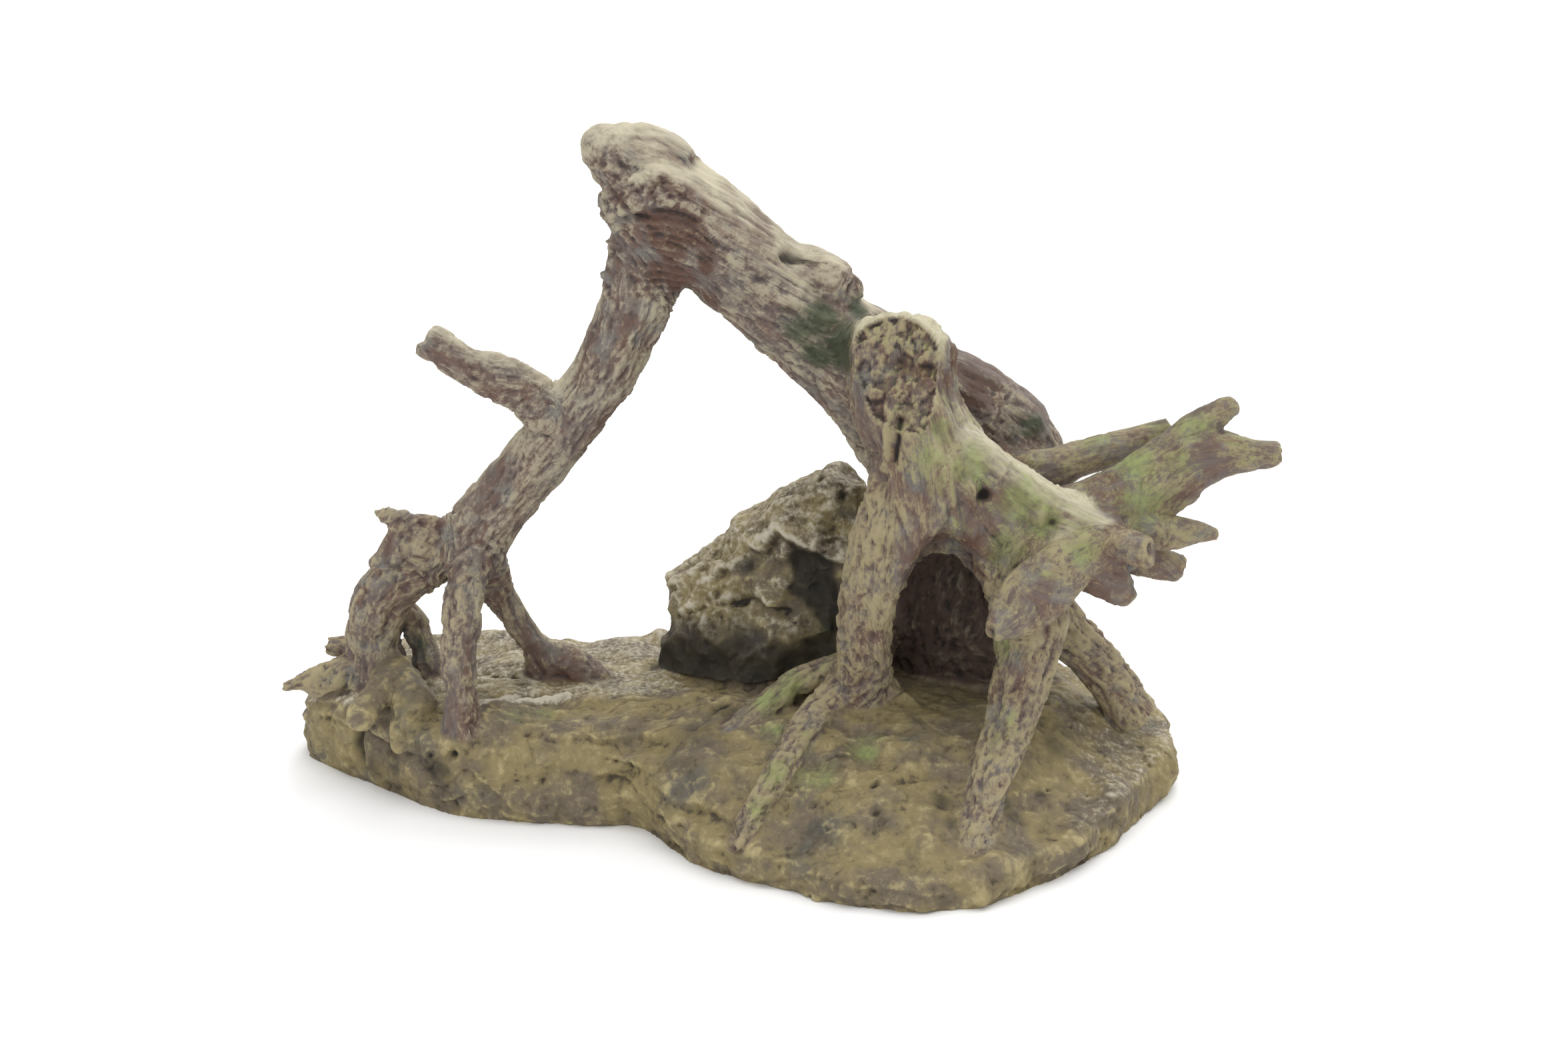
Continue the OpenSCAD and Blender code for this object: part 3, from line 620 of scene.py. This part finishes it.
def near(skin, node, place, radius):
    """1 at a place on the skin, and 0 past about a radius from it, with a wandering edge."""
    middle = at(node, *place)
    reach = 1.3 * radius * MM
    rows = np.flatnonzero((np.abs(skin.co - middle) < reach).all(1))
    gap = np.linalg.norm(skin.co[rows] - middle, axis=1) / (radius * MM)
    gap *= 1 + (0.1 + 0.4 * ease(3, 8, radius)) * fractal(skin.co[rows] / MM, 0.9 * radius, 2, 36)
    amount = np.zeros(skin.count)
    amount[rows] = 1 - ease(0, 1, gap)
    return amount


def beside(skin, line, radius):
    """1 on a line of places, and 0 past a radius from it."""
    points = np.array([at(node, *place) for node, place in line])
    reach = radius * MM
    low, high = points.min(0) - reach, points.max(0) + reach
    rows = np.flatnonzero(((skin.co > low) & (skin.co < high)).all(1))
    amount = np.zeros(skin.count)
    amount[rows] = 1 - ease(0, reach, to_line(skin.co[rows], points)[0])
    return amount


def each_spot(skin, table):
    """Every spot of a table as amounts on the skin."""
    for node, rows in table.items():
        for *place, radius, amount in rows:
            yield amount * near(skin, node, place, radius)


def spots(skin, table):
    """The strongest of a table's spots at every point."""
    amount = np.zeros(skin.count)
    for spot in each_spot(skin, table):
        amount = np.maximum(amount, spot)
    return amount


def ledge(skin, line, rise, drop, reach):
    """A step along a line of places: raised above it and sunk below it, fading with height."""
    points = np.array([at(node, *place) for node, place in line])
    low, high = points.min(0) - 1.2 * reach * MM, points.max(0) + 1.2 * reach * MM
    rows = np.flatnonzero(((skin.co > low) & (skin.co < high)).all(1))
    place = skin.co[rows] / MM
    gap, spot, _ = to_line(skin.co[rows], points)
    above = place[:, 2] - spot[:, 2] / MM + 1.6 * fractal(place, 8, 3, 33)
    step = rise * ease(-0.5, 0.8, above) - drop * ease(-0.5, 0.8, -above)
    amount = np.zeros(skin.count)
    amount[rows] = step * (1 - ease(0.15, 1, gap / (reach * MM)))
    return amount


ARC_SPACING = 2.5  # millimetres from one wrinkle to the next


def crotch_arcs(skin):
    """Wrinkles over the fork of the log, and where they are: level, and bent down on the right."""
    place = skin.co / MM
    log = shares(skin.co, "main_log")
    beyond = np.maximum(place[:, 0] - at("main_log", 0.14, 0, 0)[0] / MM, 0)
    height = place[:, 2] + beyond**2 / 30 + 0.9 * fractal(place, 9, 2, 31)
    low, high = (at("main_log", 0, 0, level)[2] / MM for level in (0.72, 0.88))
    arcs = ease(low, low + 4, height) * (1 - ease(high, high + 2, height))
    arcs *= ease(0.09, 0.13, log[:, 0]) * (1 - ease(0.25, 0.27, log[:, 0]))
    arcs *= ease(0.2, 0.6, -skin.normal[:, 1]) * ease(-0.6, 0.1, fractal(place, 7, 1, 34))
    return 0.6 * arcs * np.sin(2 * math.pi * height / ARC_SPACING), arcs


def feature_relief(skin, broken):
    """Folds, lips, knots and holes: how much is raised, and how deep each hollow is."""
    place = skin.co / MM
    ragged = fractal(place, 3.2, 3, 30)
    torn = lumpy(place, 5, 4, 32)
    raised, sunk = np.zeros(skin.count), np.zeros(skin.count)
    raised += ledge(skin, COLLAR, 0.8, 0.8, 5)
    raised += (1.9 + 2.0 * ragged) * beside(skin, COLLAR, 2.2)
    sunk += 1.4 * beside(skin, COLLAR_SHADE, 2.2)
    raised += (1.0 + 3 * ragged) * beside(skin, FRAY, 3.2)
    raised += (0.5 + 2.0 * torn) * beside(skin, CRUST, 8)
    raised += (1.2 + ragged) * beside(skin, HIGHLIT_EDGE, 3)
    raised += (1.7 + ragged) * beside(skin, LIP, 2.4) + 1.0 * beside(skin, CREST, 5)
    sunk += 2.2 * beside(skin, LIP_CRACK, 1.8)
    rim = 4 * broken * (1 - broken) * ease(0.5, -0.2, skin.normal[:, 0])
    raised += 1.2 * ease(0.3, 1, rim)
    inside = ease(0.6, 1, broken)
    splits = fractal(place * [1, 1, 0.45], 4.2, 3, 35)
    raised += inside * (1.5 * ease(-0.05, 0.12, splits) + 0.9 * torn + 0.6 * ragged - 1.5)
    sunk += 2.0 * inside * near(skin, "stump", (0.2, 0.42, 0.84), 7)
    sunk += 1.5 * inside * near(skin, "stump", (0.29, 0.38, 0.82), 5)
    raised += sum(each_spot(skin, BUMPS))
    sunk += sum(each_spot(skin, HOLES))
    for points, radius, depth in GROOVES:
        sunk += depth * beside(skin, points, radius)
    for points, rise, drop, reach in LEDGES:
        raised += ledge(skin, points, rise, drop, reach)
    raised += crotch_arcs(skin)[0]
    return raised * MM, sunk * MM


# ---- pieces -----------------------------------------------------------------


def close_holes(mesh, inward):
    """Turns every open edge inwards, by the vector given for each point, and closes it."""
    shape = bmesh.new()
    shape.from_mesh(mesh)
    shape.verts.ensure_lookup_table()
    rim = [edge for edge in shape.edges if edge.is_boundary]
    turned = bmesh.ops.extrude_edge_only(shape, edges=rim)["geom"]
    shape.verts.index_update()
    way = {}
    for vert in turned:
        if isinstance(vert, bmesh.types.BMVert):
            first = min(edge.other_vert(vert).index for edge in vert.link_edges)
            way[vert] = Vector(inward[first])
            inner = vert.co + way[vert]
            vert.co = (inner.x, inner.y, max(inner.z, min(vert.co.z, 0)))
    edges = [edge for edge in turned if isinstance(edge, bmesh.types.BMEdge)]
    caps = bmesh.ops.holes_fill(shape, edges=edges, sides=0)["faces"]
    for middle in bmesh.ops.poke(shape, faces=caps)["verts"]:
        around = [way[edge.other_vert(middle)] for edge in middle.link_edges]
        middle.co += CAP_SAG * sum(around, Vector()) / len(around)
        middle.co.z = max(middle.co.z, 0)
    shape.to_mesh(mesh)
    shape.free()


def cut_piece(skin, faces, name, marks, inward, material):
    """The part of the skin that belongs to one CAD node, closed where it was cut."""
    own = faces[skin.owner[faces[:, 0]] == NAMES.index(name)]
    used, local = np.unique(own, return_inverse=True)
    local = local.reshape(-1, 4)
    mesh = bpy.data.meshes.new(name)
    mesh.from_pydata(skin.co[used].tolist(), [], local.tolist())
    for key, values in marks.items():
        kind = "FLOAT" if values.ndim == 1 else "FLOAT_VECTOR"
        attribute = mesh.attributes.new(key, kind, "POINT")
        attribute.data.foreach_set("value" if kind == "FLOAT" else "vector", values[used].ravel())
    close_holes(mesh, inward[used])
    mesh.materials.append(material)
    mesh.polygons.foreach_set("use_smooth", np.ones(len(mesh.polygons), bool))
    corners = read(mesh.loops, "vertex_index", 1, int)[: own.size]
    normals = np.empty((len(mesh.loops), 3))
    normals[: own.size] = skin.normal[used][corners]
    for cap in list(mesh.polygons)[len(own) :]:
        normals[cap.loop_start : cap.loop_start + cap.loop_total] = cap.normal
    mesh.normals_split_custom_set(normals.tolist())
    piece = bpy.data.objects.new("skin_" + name, mesh)
    bpy.context.scene.collection.objects.link(piece)
    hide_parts(name)
    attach(piece, "root")


# ---- materials --------------------------------------------------------------


class Tree:
    """Short ways to add nodes to a material."""

    def __init__(self, material):
        material.use_nodes = True
        self.tree = material.node_tree
        self.shader = self.tree.nodes["Principled BSDF"]

    def put(self, socket, value):
        if isinstance(value, bpy.types.NodeSocket):
            self.tree.links.new(value, socket)
        elif isinstance(value, tuple) and len(value) == 3 and socket.type == "RGBA":
            socket.default_value = (*value, 1)
        else:
            socket.default_value = value

    def mark(self, name, output="Fac"):
        node = self.tree.nodes.new("ShaderNodeAttribute")
        node.attribute_name = name
        return node.outputs[output]

    def noise(self, place, wavelength, detail=4, roughness=0.55, distortion=0.0):
        node = self.tree.nodes.new("ShaderNodeTexNoise")
        self.put(node.inputs["Vector"], place)
        node.inputs["Scale"].default_value = 1 / wavelength
        node.inputs["Detail"].default_value = detail
        node.inputs["Roughness"].default_value = roughness
        node.inputs["Distortion"].default_value = distortion
        return node.outputs["Fac"]

    def ramp(self, value, low, high, to_low=0.0, to_high=1.0):
        node = self.tree.nodes.new("ShaderNodeMapRange")
        node.interpolation_type = "SMOOTHSTEP"
        self.put(node.inputs["Value"], value)
        node.inputs["From Min"].default_value = low
        node.inputs["From Max"].default_value = high
        node.inputs["To Min"].default_value = to_low
        node.inputs["To Max"].default_value = to_high
        return node.outputs["Result"]

    def math(self, what, a, b):
        node = self.tree.nodes.new("ShaderNodeMath")
        node.operation = what
        self.put(node.inputs[0], a)
        self.put(node.inputs[1], b)
        return node.outputs[0]

    def total(self, *terms):
        """The sum of values, each times its weight."""
        parts = [v if weight == 1 else self.math("MULTIPLY", v, weight) for v, weight in terms]
        result = parts[0]
        for part in parts[1:]:
            result = self.math("ADD", result, part)
        return result

    def mix(self, share, a, b):
        node = self.tree.nodes.new("ShaderNodeMix")
        node.data_type = "RGBA"
        self.put(node.inputs[0], share)
        self.put(node.inputs[6], a)
        self.put(node.inputs[7], b)
        return node.outputs[2]


def srgb(red, green, blue):
    """A paint's sRGB values, 0 to 255, as linear light."""
    return tuple(((c / 255 + 0.055) / 1.055) ** 2.4 if c > 10 else c / 255 / 12.92
                 for c in (red, green, blue))


WOOD_DARK = srgb(70, 62, 60)
WOOD = srgb(106, 95, 90)
WOOD_RED = srgb(106, 84, 74)
WOOD_GREY = srgb(116, 112, 106)
RUST = srgb(98, 73, 62)
TAN = srgb(156, 144, 112)
ASH = srgb(166, 157, 138)
CREAM = srgb(196, 188, 164)
MOSS = srgb(124, 130, 82)
MOSS_BRIGHT = srgb(140, 158, 92)
DARK_MOSS = srgb(50, 64, 42)
ROCK_DARK = srgb(72, 64, 50)
ROCK = srgb(134, 121, 86)
ROCK_LIGHT = srgb(168, 155, 114)
ROCK_BROWN = srgb(108, 97, 82)
# pale, for a painted highlight on the stone
STONE_HIGHLIGHT = srgb(190, 183, 166)
SLATE = srgb(88, 88, 83)
# black, for painted shade and for the dark wash in the crevices
BLACK_WASH_AND_SHADE = srgb(34, 32, 29)


def painted(slot):
    """The paint of one material slot. The marks on the skin say what goes where."""
    material = bpy.data.materials.new(slot)
    t = Tree(material)
    grain, place = t.mark("grain", "Vector"), t.mark("place", "Vector")
    rock, relief, shade = t.mark("rock"), t.mark("relief"), t.mark("shade")
    warm, cover, rust = t.mark("warm"), t.mark("cover"), t.mark("rust")
    moss, dark_moss = t.mark("moss"), t.mark("dark_moss")
    pale, stone_highlight = t.mark("pale"), t.mark("stone_highlight")

    fine = t.noise(place, 1.5, 6, 0.7)
    fibre = t.noise(grain, 1.3, 6, 0.65)
    broad = t.noise(place, 15, 4)
    speck = t.math("SUBTRACT", fine, 0.5)
    thread = t.math("SUBTRACT", fibre, 0.5)
    patch = t.math("SUBTRACT", broad, 0.5)
    flake = t.math("SUBTRACT", t.noise(grain, 1.35, 7, 0.7, 1.0), 0.5)
    cloud = t.math("SUBTRACT", t.noise(place, 7, 5, 0.6, 0.8), 0.5)

    wood = t.mix(t.ramp(t.noise(grain, 5, 4), 0.35, 0.65), WOOD, WOOD_RED)
    wood = t.mix(t.ramp(t.noise(place, 9, 3), 0.5, 0.68), wood, WOOD_GREY)
    rusty = t.total((rust, 1), (flake, 1.5))
    wood = t.mix(t.ramp(rusty, 0.35, 0.9), wood, RUST)
    groove = t.total((thread, 1), (relief, 0.12))
    wood = t.mix(t.ramp(groove, 0.0, -0.3, 0, 0.8), wood, WOOD_DARK)
    brushed = t.total((relief, 0.3), (flake, 2.2), (patch, 2.0), (speck, 1.6), (cover, 0.13),
                      (rust, -0.5))
    wood = t.mix(t.ramp(brushed, -0.3, 0.65, 0, 0.95), wood, t.mix(warm, ASH, TAN))

    stone = t.mix(t.ramp(broad, 0.4, 0.62), ROCK, ROCK_BROWN)
    stone = t.mix(t.ramp(t.noise(place, 21, 5), 0.58, 0.72, 0, 0.7), stone, SLATE)
    stained = t.noise(place, 8, 7, 0.68, 0.6)
    stone = t.mix(t.ramp(stained, 0.54, 0.68, 0, 0.6), stone, ROCK_DARK)
    worn = t.total((relief, 0.32), (speck, 1.5), (cloud, 2.4))
    stone = t.mix(t.ramp(worn, -0.05, -0.8), stone, ROCK_DARK)
    stone = t.mix(t.ramp(worn, 0.0, 0.9), stone, ROCK_LIGHT)
    # a pale painted highlight on the stone's tops and along an edge of the ledge
    highlit = t.total((stone_highlight, 1), (speck, 3.0), (relief, 0.3))
    stone = t.mix(t.math("MULTIPLY", t.ramp(highlit, 0.2, 1.3), t.ramp(stone_highlight, 0, 0.3)), stone, STONE_HIGHLIGHT)

    paint = t.mix(rock, wood, stone)
    # cream on the tops as a painted highlight, and on the break's rim
    creamy = t.total((pale, 1), (patch, 0.8), (thread, 0.9))
    paint = t.mix(t.ramp(creamy, 0.1, 0.9, 0, 0.9), paint, CREAM)
    misted = t.total((moss, 1), (flake, 2.2), (speck, 0.6), (patch, 0.6))
    green = t.mix(t.ramp(t.noise(place, 5), 0.4, 0.65), MOSS, MOSS_BRIGHT)
    paint = t.mix(t.ramp(misted, 0.15, 1.1, 0, 0.66), paint, green)
    dusk = t.total((dark_moss, 1), (thread, 1.2))
    paint = t.mix(t.ramp(dusk, 0.25, 0.9, 0, 0.8), paint, DARK_MOSS)
    # painted shade where the shade mark says, and a dark wash in the crevices, both in black
    deep = t.total((shade, 1), (t.ramp(relief, -0.6, -2.0, 0, 0.4), 1), (speck, 0.3))
    paint = t.mix(t.ramp(deep, 0.1, 1.0, 0, 0.9), paint, BLACK_WASH_AND_SHADE)
    t.put(t.shader.inputs["Base Color"], paint)
    t.put(t.shader.inputs["Roughness"], t.ramp(fine, 0.3, 0.7, 0.68, 0.86))
    t.shader.inputs["Specular IOR Level"].default_value = 0.3

    bump = t.tree.nodes.new("ShaderNodeBump")
    bump.inputs["Strength"].default_value = 0.7
    bump.inputs["Distance"].default_value = 0.3 * MM
    t.put(bump.inputs["Height"], t.total((fibre, 0.6), (fine, 1)))
    t.put(t.shader.inputs["Normal"], bump.outputs["Normal"])
    return material


# ---- the whole --------------------------------------------------------------

# The way that the stump's broken top looks
BREAK_FACES = np.array(Vector((-6, -40, 24)).normalized())
# The middle of the cave's mouth as shares of the stump's box, and half its sizes in millimetres
MOUTH = (0.37, 0, -0.12)
MOUTH_WIDTH = 15
MOUTH_HEIGHT = 24
MOUTH_SETBACK = 9 * MM
ARCH_WIDTH = 14.5
ARCH_DROP = 10 * MM  # how far the mouth's rim comes down beside the legs
RELAX_ROUNDS = 30
RELAX_IN = 1.2
RELAX_OUT = 1.24
JOINT_ROUNDS = 40  # how widely the joints between pieces melt


class Ornament(Skin):
    """The skin with masks, 0 to 1, that say what each point of it is."""

    def __init__(self, mesh):
        super().__init__(mesh)
        self.owner = nearest_nodes(self.co)
        self.bottom = self.co[:, 2] < UNDERSIDE
        self.rock = self.averaged(self.on(*ROCKS), 6)
        self.boulder = self.averaged(self.on("boulder"), 4)
        self.relax()
        flat = self.on("stump") * (self.normal @ BREAK_FACES > 0.97)
        flat *= shares(self.co, "stump")[:, 2] > 0.5
        self.broken = ease(0.35, 0.65, self.averaged(flat, 8))
        self.whole = 1 - self.broken

    def on(self, *nodes):
        """1 on the points that belong to these CAD nodes, and 0 elsewhere."""
        return np.isin(self.owner, [NAMES.index(node) for node in nodes]).astype(float)

    def relax(self):
        """Takes away the voxels' steps without shrinking the skin."""
        rest = self.co.copy()
        for _ in range(RELAX_ROUNDS):
            self.co += RELAX_IN * (self.averaged(self.co) - self.co)
            self.co -= RELAX_OUT * (self.averaged(self.co) - self.co)
        self.co[self.bottom] = rest[self.bottom]
        self.refresh()

    def melt_joints(self):
        """Fills the joints between thick pieces, and rounds the edges of wood and ledge."""
        girth = Grain(self.co).radius
        self.melt = self.seams(np.where(self.on(*ROCKS) > 0, -1, self.owner), JOINT_ROUNDS)
        self.melt *= self.whole * ease(3 * MM, 8 * MM, girth)
        self.soften(self.melt, JOINT_ROUNDS)
        sharp = ease(0.15 * MM, 0.45 * MM, self.bulge(12) - 1.2 * MM**2 / girth)
        self.soften(self.averaged(sharp * (1 - self.on(*ROCKS)) * self.whole, 3), 12)
        ledge = self.on("rock_base") * ~self.bottom
        worn = self.averaged(ease(0.15 * MM, 0.5 * MM, self.bulge(16)) * ledge, 24)
        self.soften(ease(0, 0.5, worn) * self.averaged(ledge, 12), 150)

    def shape_cave(self):
        """Sets the cave's mouth back, bends its rim to an arch and smooths its vault."""
        place = self.co / MM
        middle = at("stump", *MOUTH) / MM
        across = (place[:, 0] - middle[0]) / MOUTH_WIDTH
        upward = (place[:, 2] - middle[2]) / MOUTH_HEIGHT
        self.recess = 1 - ease(0.7, 1.05, np.hypot(across, upward))
        self.recess *= self.averaged(self.on("stump"), 6) * ease(0, 8, -place[:, 1])
        self.co[:, 1] += MOUTH_SETBACK * self.recess
        self.refresh()
        arch = self.arch_mask() * self.averaged(self.on("stump", *CAVE_LEGS), 6)
        self.co[:, 2] -= ARCH_DROP * arch
        self.refresh()
        vault = near(self, "stump", (0.34, 0.2, 0.0), 22) * self.on("stump")
        self.vault = self.averaged(vault, 4)
        for _ in range(4):
            self.soften(0.8 * self.vault, 6)

    def fill_creases(self):
        """Softens the joints between thin pieces, and fills every crease a little."""
        thin = self.seams(self.owner, 6) * (1 - self.rock) * (1 - self.melt) * self.whole
        for _ in range(3):
            self.soften(thin, 6)
        for _ in range(16):
            self.push(np.maximum(-self.bulge(2), 0) * self.whole * ~self.bottom)

    def arch_mask(self):
        """How far the rim of the cave comes down: nothing in the middle, most beside the legs."""
        place = (self.co - at("stump", 0.35, 0.2, 0)) / MM
        side = place[:, 0] / ARCH_WIDTH
        down = side**2 * (1 - ease(1, 1.6, np.abs(side)))
        down *= ease(-30, -20, place[:, 2]) * (1 - ease(5, 25, place[:, 2]))
        return down * np.where(side > 0, ease(-9, -3, place[:, 1]), 1)

    def sculpt(self):
        """Raises bark, stone and features on the skin, and keeps it as it was for the paint."""
        self.grain = Grain(self.co)
        self.smooth = self.co.copy()
        self.up = self.normal[:, 2].copy()
        free = 1 - self.averaged(self.bottom.astype(float), 3)
        free[self.bottom] = 0
        calm = self.averaged(0.75 * self.on("club_root", *ANTLERS) + 0.35 * self.on("stump"), 20)
        worn_top = ease(0.15, 0.75, self.up) * self.averaged(self.on("main_log"), 10)
        calm = np.maximum(np.maximum(calm, self.vault), 0.85 * worn_top)
        raised, self.sunk = feature_relief(self, self.broken)
        amount = wood_relief(self, self.grain, (1 - self.rock) * self.whole, calm)
        amount += rock_relief(self, self.rock - self.boulder) + boulder_relief(self, self.boulder)
        self.push((amount + raised - self.sunk) * free)
        self.co[:, 2] = np.maximum(self.co[:, 2], 0)
        self.refresh()

    def paint_marks(self):
        """What the materials need to know of every point."""
        self.arcs = crotch_arcs(self)[1]
        self.log = shares(self.smooth, "main_log")
        self.stump = shares(self.smooth, "stump")
        in_cave = self.cave_mark()
        # reddish brown, which on a few spots is painted shade as well
        rust = np.maximum(spots(self, RUST_AND_SHADE_SPOTS), 0.8 * self.arcs)
        bare = 1.5 * self.on(*CAVE_LEGS) + 0.6 * self.on("club_root") - 0.7 * self.on(*ANTLERS)
        bare -= 0.9 * self.on(*FEET) + 0.5 * self.on("main_log", "left_limb")
        cool = 0.8 * self.on("main_log", "left_limb", "side_stub") + 0.3 * self.on(*FEET)
        # painted shade: the listed spots, the boulder's foot, the cave's back wall, the hollows and
        # the cave's mouth
        shade = spots(self, SHADE_SPOTS) + 1.15 * self.foot_shade_mark() + 0.64 * in_cave
        shade += 0.8 * ease(0.6 * MM, 3 * MM, self.sunk) + 0.35 * self.recess
        return {
            "grain": self.grain.coords,
            "place": self.smooth / MM,
            "rock": self.rock,
            "relief": self.relief_mark(),
            "moss": np.maximum(spots(self, MOSS_SPOTS), self.mist_mark()),
            "dark_moss": spots(self, DARK_MOSS_SPOTS),
            "rust": np.maximum(rust, np.maximum(0.25 * self.broken, 0.8 * in_cave)),
            "shade": np.clip(shade, 0, 1),
            "pale": self.top_highlight_mark(),
            "stone_highlight": self.stone_highlight_mark(),
            "warm": 1 - self.averaged(cool, 16),
            "cover": self.averaged(bare, 16) + 1.2 * self.broken,
        }

    def relief_mark(self):
        """How far each point stands out, where the brush found no seam and no wrinkle."""
        height = self.bulge(10) / (0.3 * MM)
        height *= 1 - 0.6 * self.seams(self.owner, 6) * (height < 0)
        height *= 1 - 0.65 * self.arcs * (height > 0)
        return np.clip(height, -2, 2)

    def foot_shade_mark(self):
        """Painted shade on the boulder's foot, in front: darker towards the bottom."""
        level = shares(self.smooth, "boulder")[:, 2] + 0.1 * fractal(self.smooth / MM, 20, 2, 40)
        low = self.boulder * (1 - ease(0.08, 0.57, level))
        return low * ease(0.5, -0.2, self.normal[:, 1])

    def cave_mark(self):
        """The front of the log where it is the cave's back wall, which gets painted shade and a
        reddish brown.
        """
        log, stump = self.log, self.stump
        inside = ease(0.02, 0.2, log[:, 1]) * (1 - ease(0, 0.2, stump[:, 2])) * (1 - self.rock)
        inside *= ease(0.12, 0.22, stump[:, 0]) * (1 - ease(0.74, 0.86, stump[:, 0]))
        return inside * (1 - ease(0.4, 0.6, log[:, 1])) * ease(0.7, 0.1, self.normal[:, 1])

    def mist_mark(self):
        """A thin green on what looks up, from the stump to the antlers."""
        mist = 0.35 * self.on("stump", "antler_long", "antler_upper", "antler_low")
        mist += 0.25 * self.on("club_root", "antler_rear", "creeping_root")
        facing = self.normal[:, 2] + 0.65 * (self.stump[:, 0] - 0.27)
        return self.averaged(mist, 30) * ease(-0.2, 0.7, facing)

    def top_highlight_mark(self):
        """Cream on the tops as a painted highlight, less to the right on the log, and on the break's
        rim.
        """
        along = self.log[:, 0]
        on_log = 0.75 - 0.65 * ease(0.5, 0.66, along) - 0.2 * ease(0.3, 0.4, along)
        pale = self.on("main_log") * on_log + 0.55 * self.on("left_limb", "side_stub")
        pale = self.averaged(pale + 0.75 * self.on("stump"), 12)
        pale *= ease(0.1, 0.85, self.up) * self.whole
        rim = self.broken * self.whole * ease(0.5, -0.3, self.normal[:, 0])
        return pale + 1.2 * rim

    def stone_highlight_mark(self):
        """A pale painted highlight on what looks up at the back and the right end of the ledge, along
        an edge of it, and on the boulder.
        """
        base = shares(self.smooth, "rock_base")
        behind = ease(0.59, 0.64, base[:, 1]) * (1 - ease(0.41, 0.48, base[:, 0]))
        stone_highlight = self.averaged(self.on("rock_base"), 4) * ease(0.3, 0.8, self.up)
        stone_highlight *= 0.55 * behind + 0.35 * ease(0.8, 0.95, base[:, 0])
        stone_highlight = np.maximum(stone_highlight, 1.5 * beside(self, HIGHLIT_EDGE, 4))
        return stone_highlight + 0.5 * self.boulder * ease(-0.1, 0.5, self.up)

    def inward(self):
        """The way from each point to where its piece is closed, inside the skin."""
        facing = self.averaged(self.normal, 8)
        depth = np.minimum(CAP_DEPTH, CAP_SHARE * self.grain.radius)
        return -(depth / np.linalg.norm(facing, axis=1))[:, None] * facing


def build():
    mesh, faces = cleaned(fused_mesh())
    skin = Ornament(mesh)
    skin.melt_joints()
    skin.shape_cave()
    skin.fill_creases()
    skin.sculpt()
    marks, inward = skin.paint_marks(), skin.inward()
    materials = {slot: painted(slot) for slot in sorted(set(slot_of.values()))}
    for name in NAMES:
        cut_piece(skin, faces, name, marks, inward, materials[slot_of[name]])


add_camera()
add_studio()
add_floor()
build()
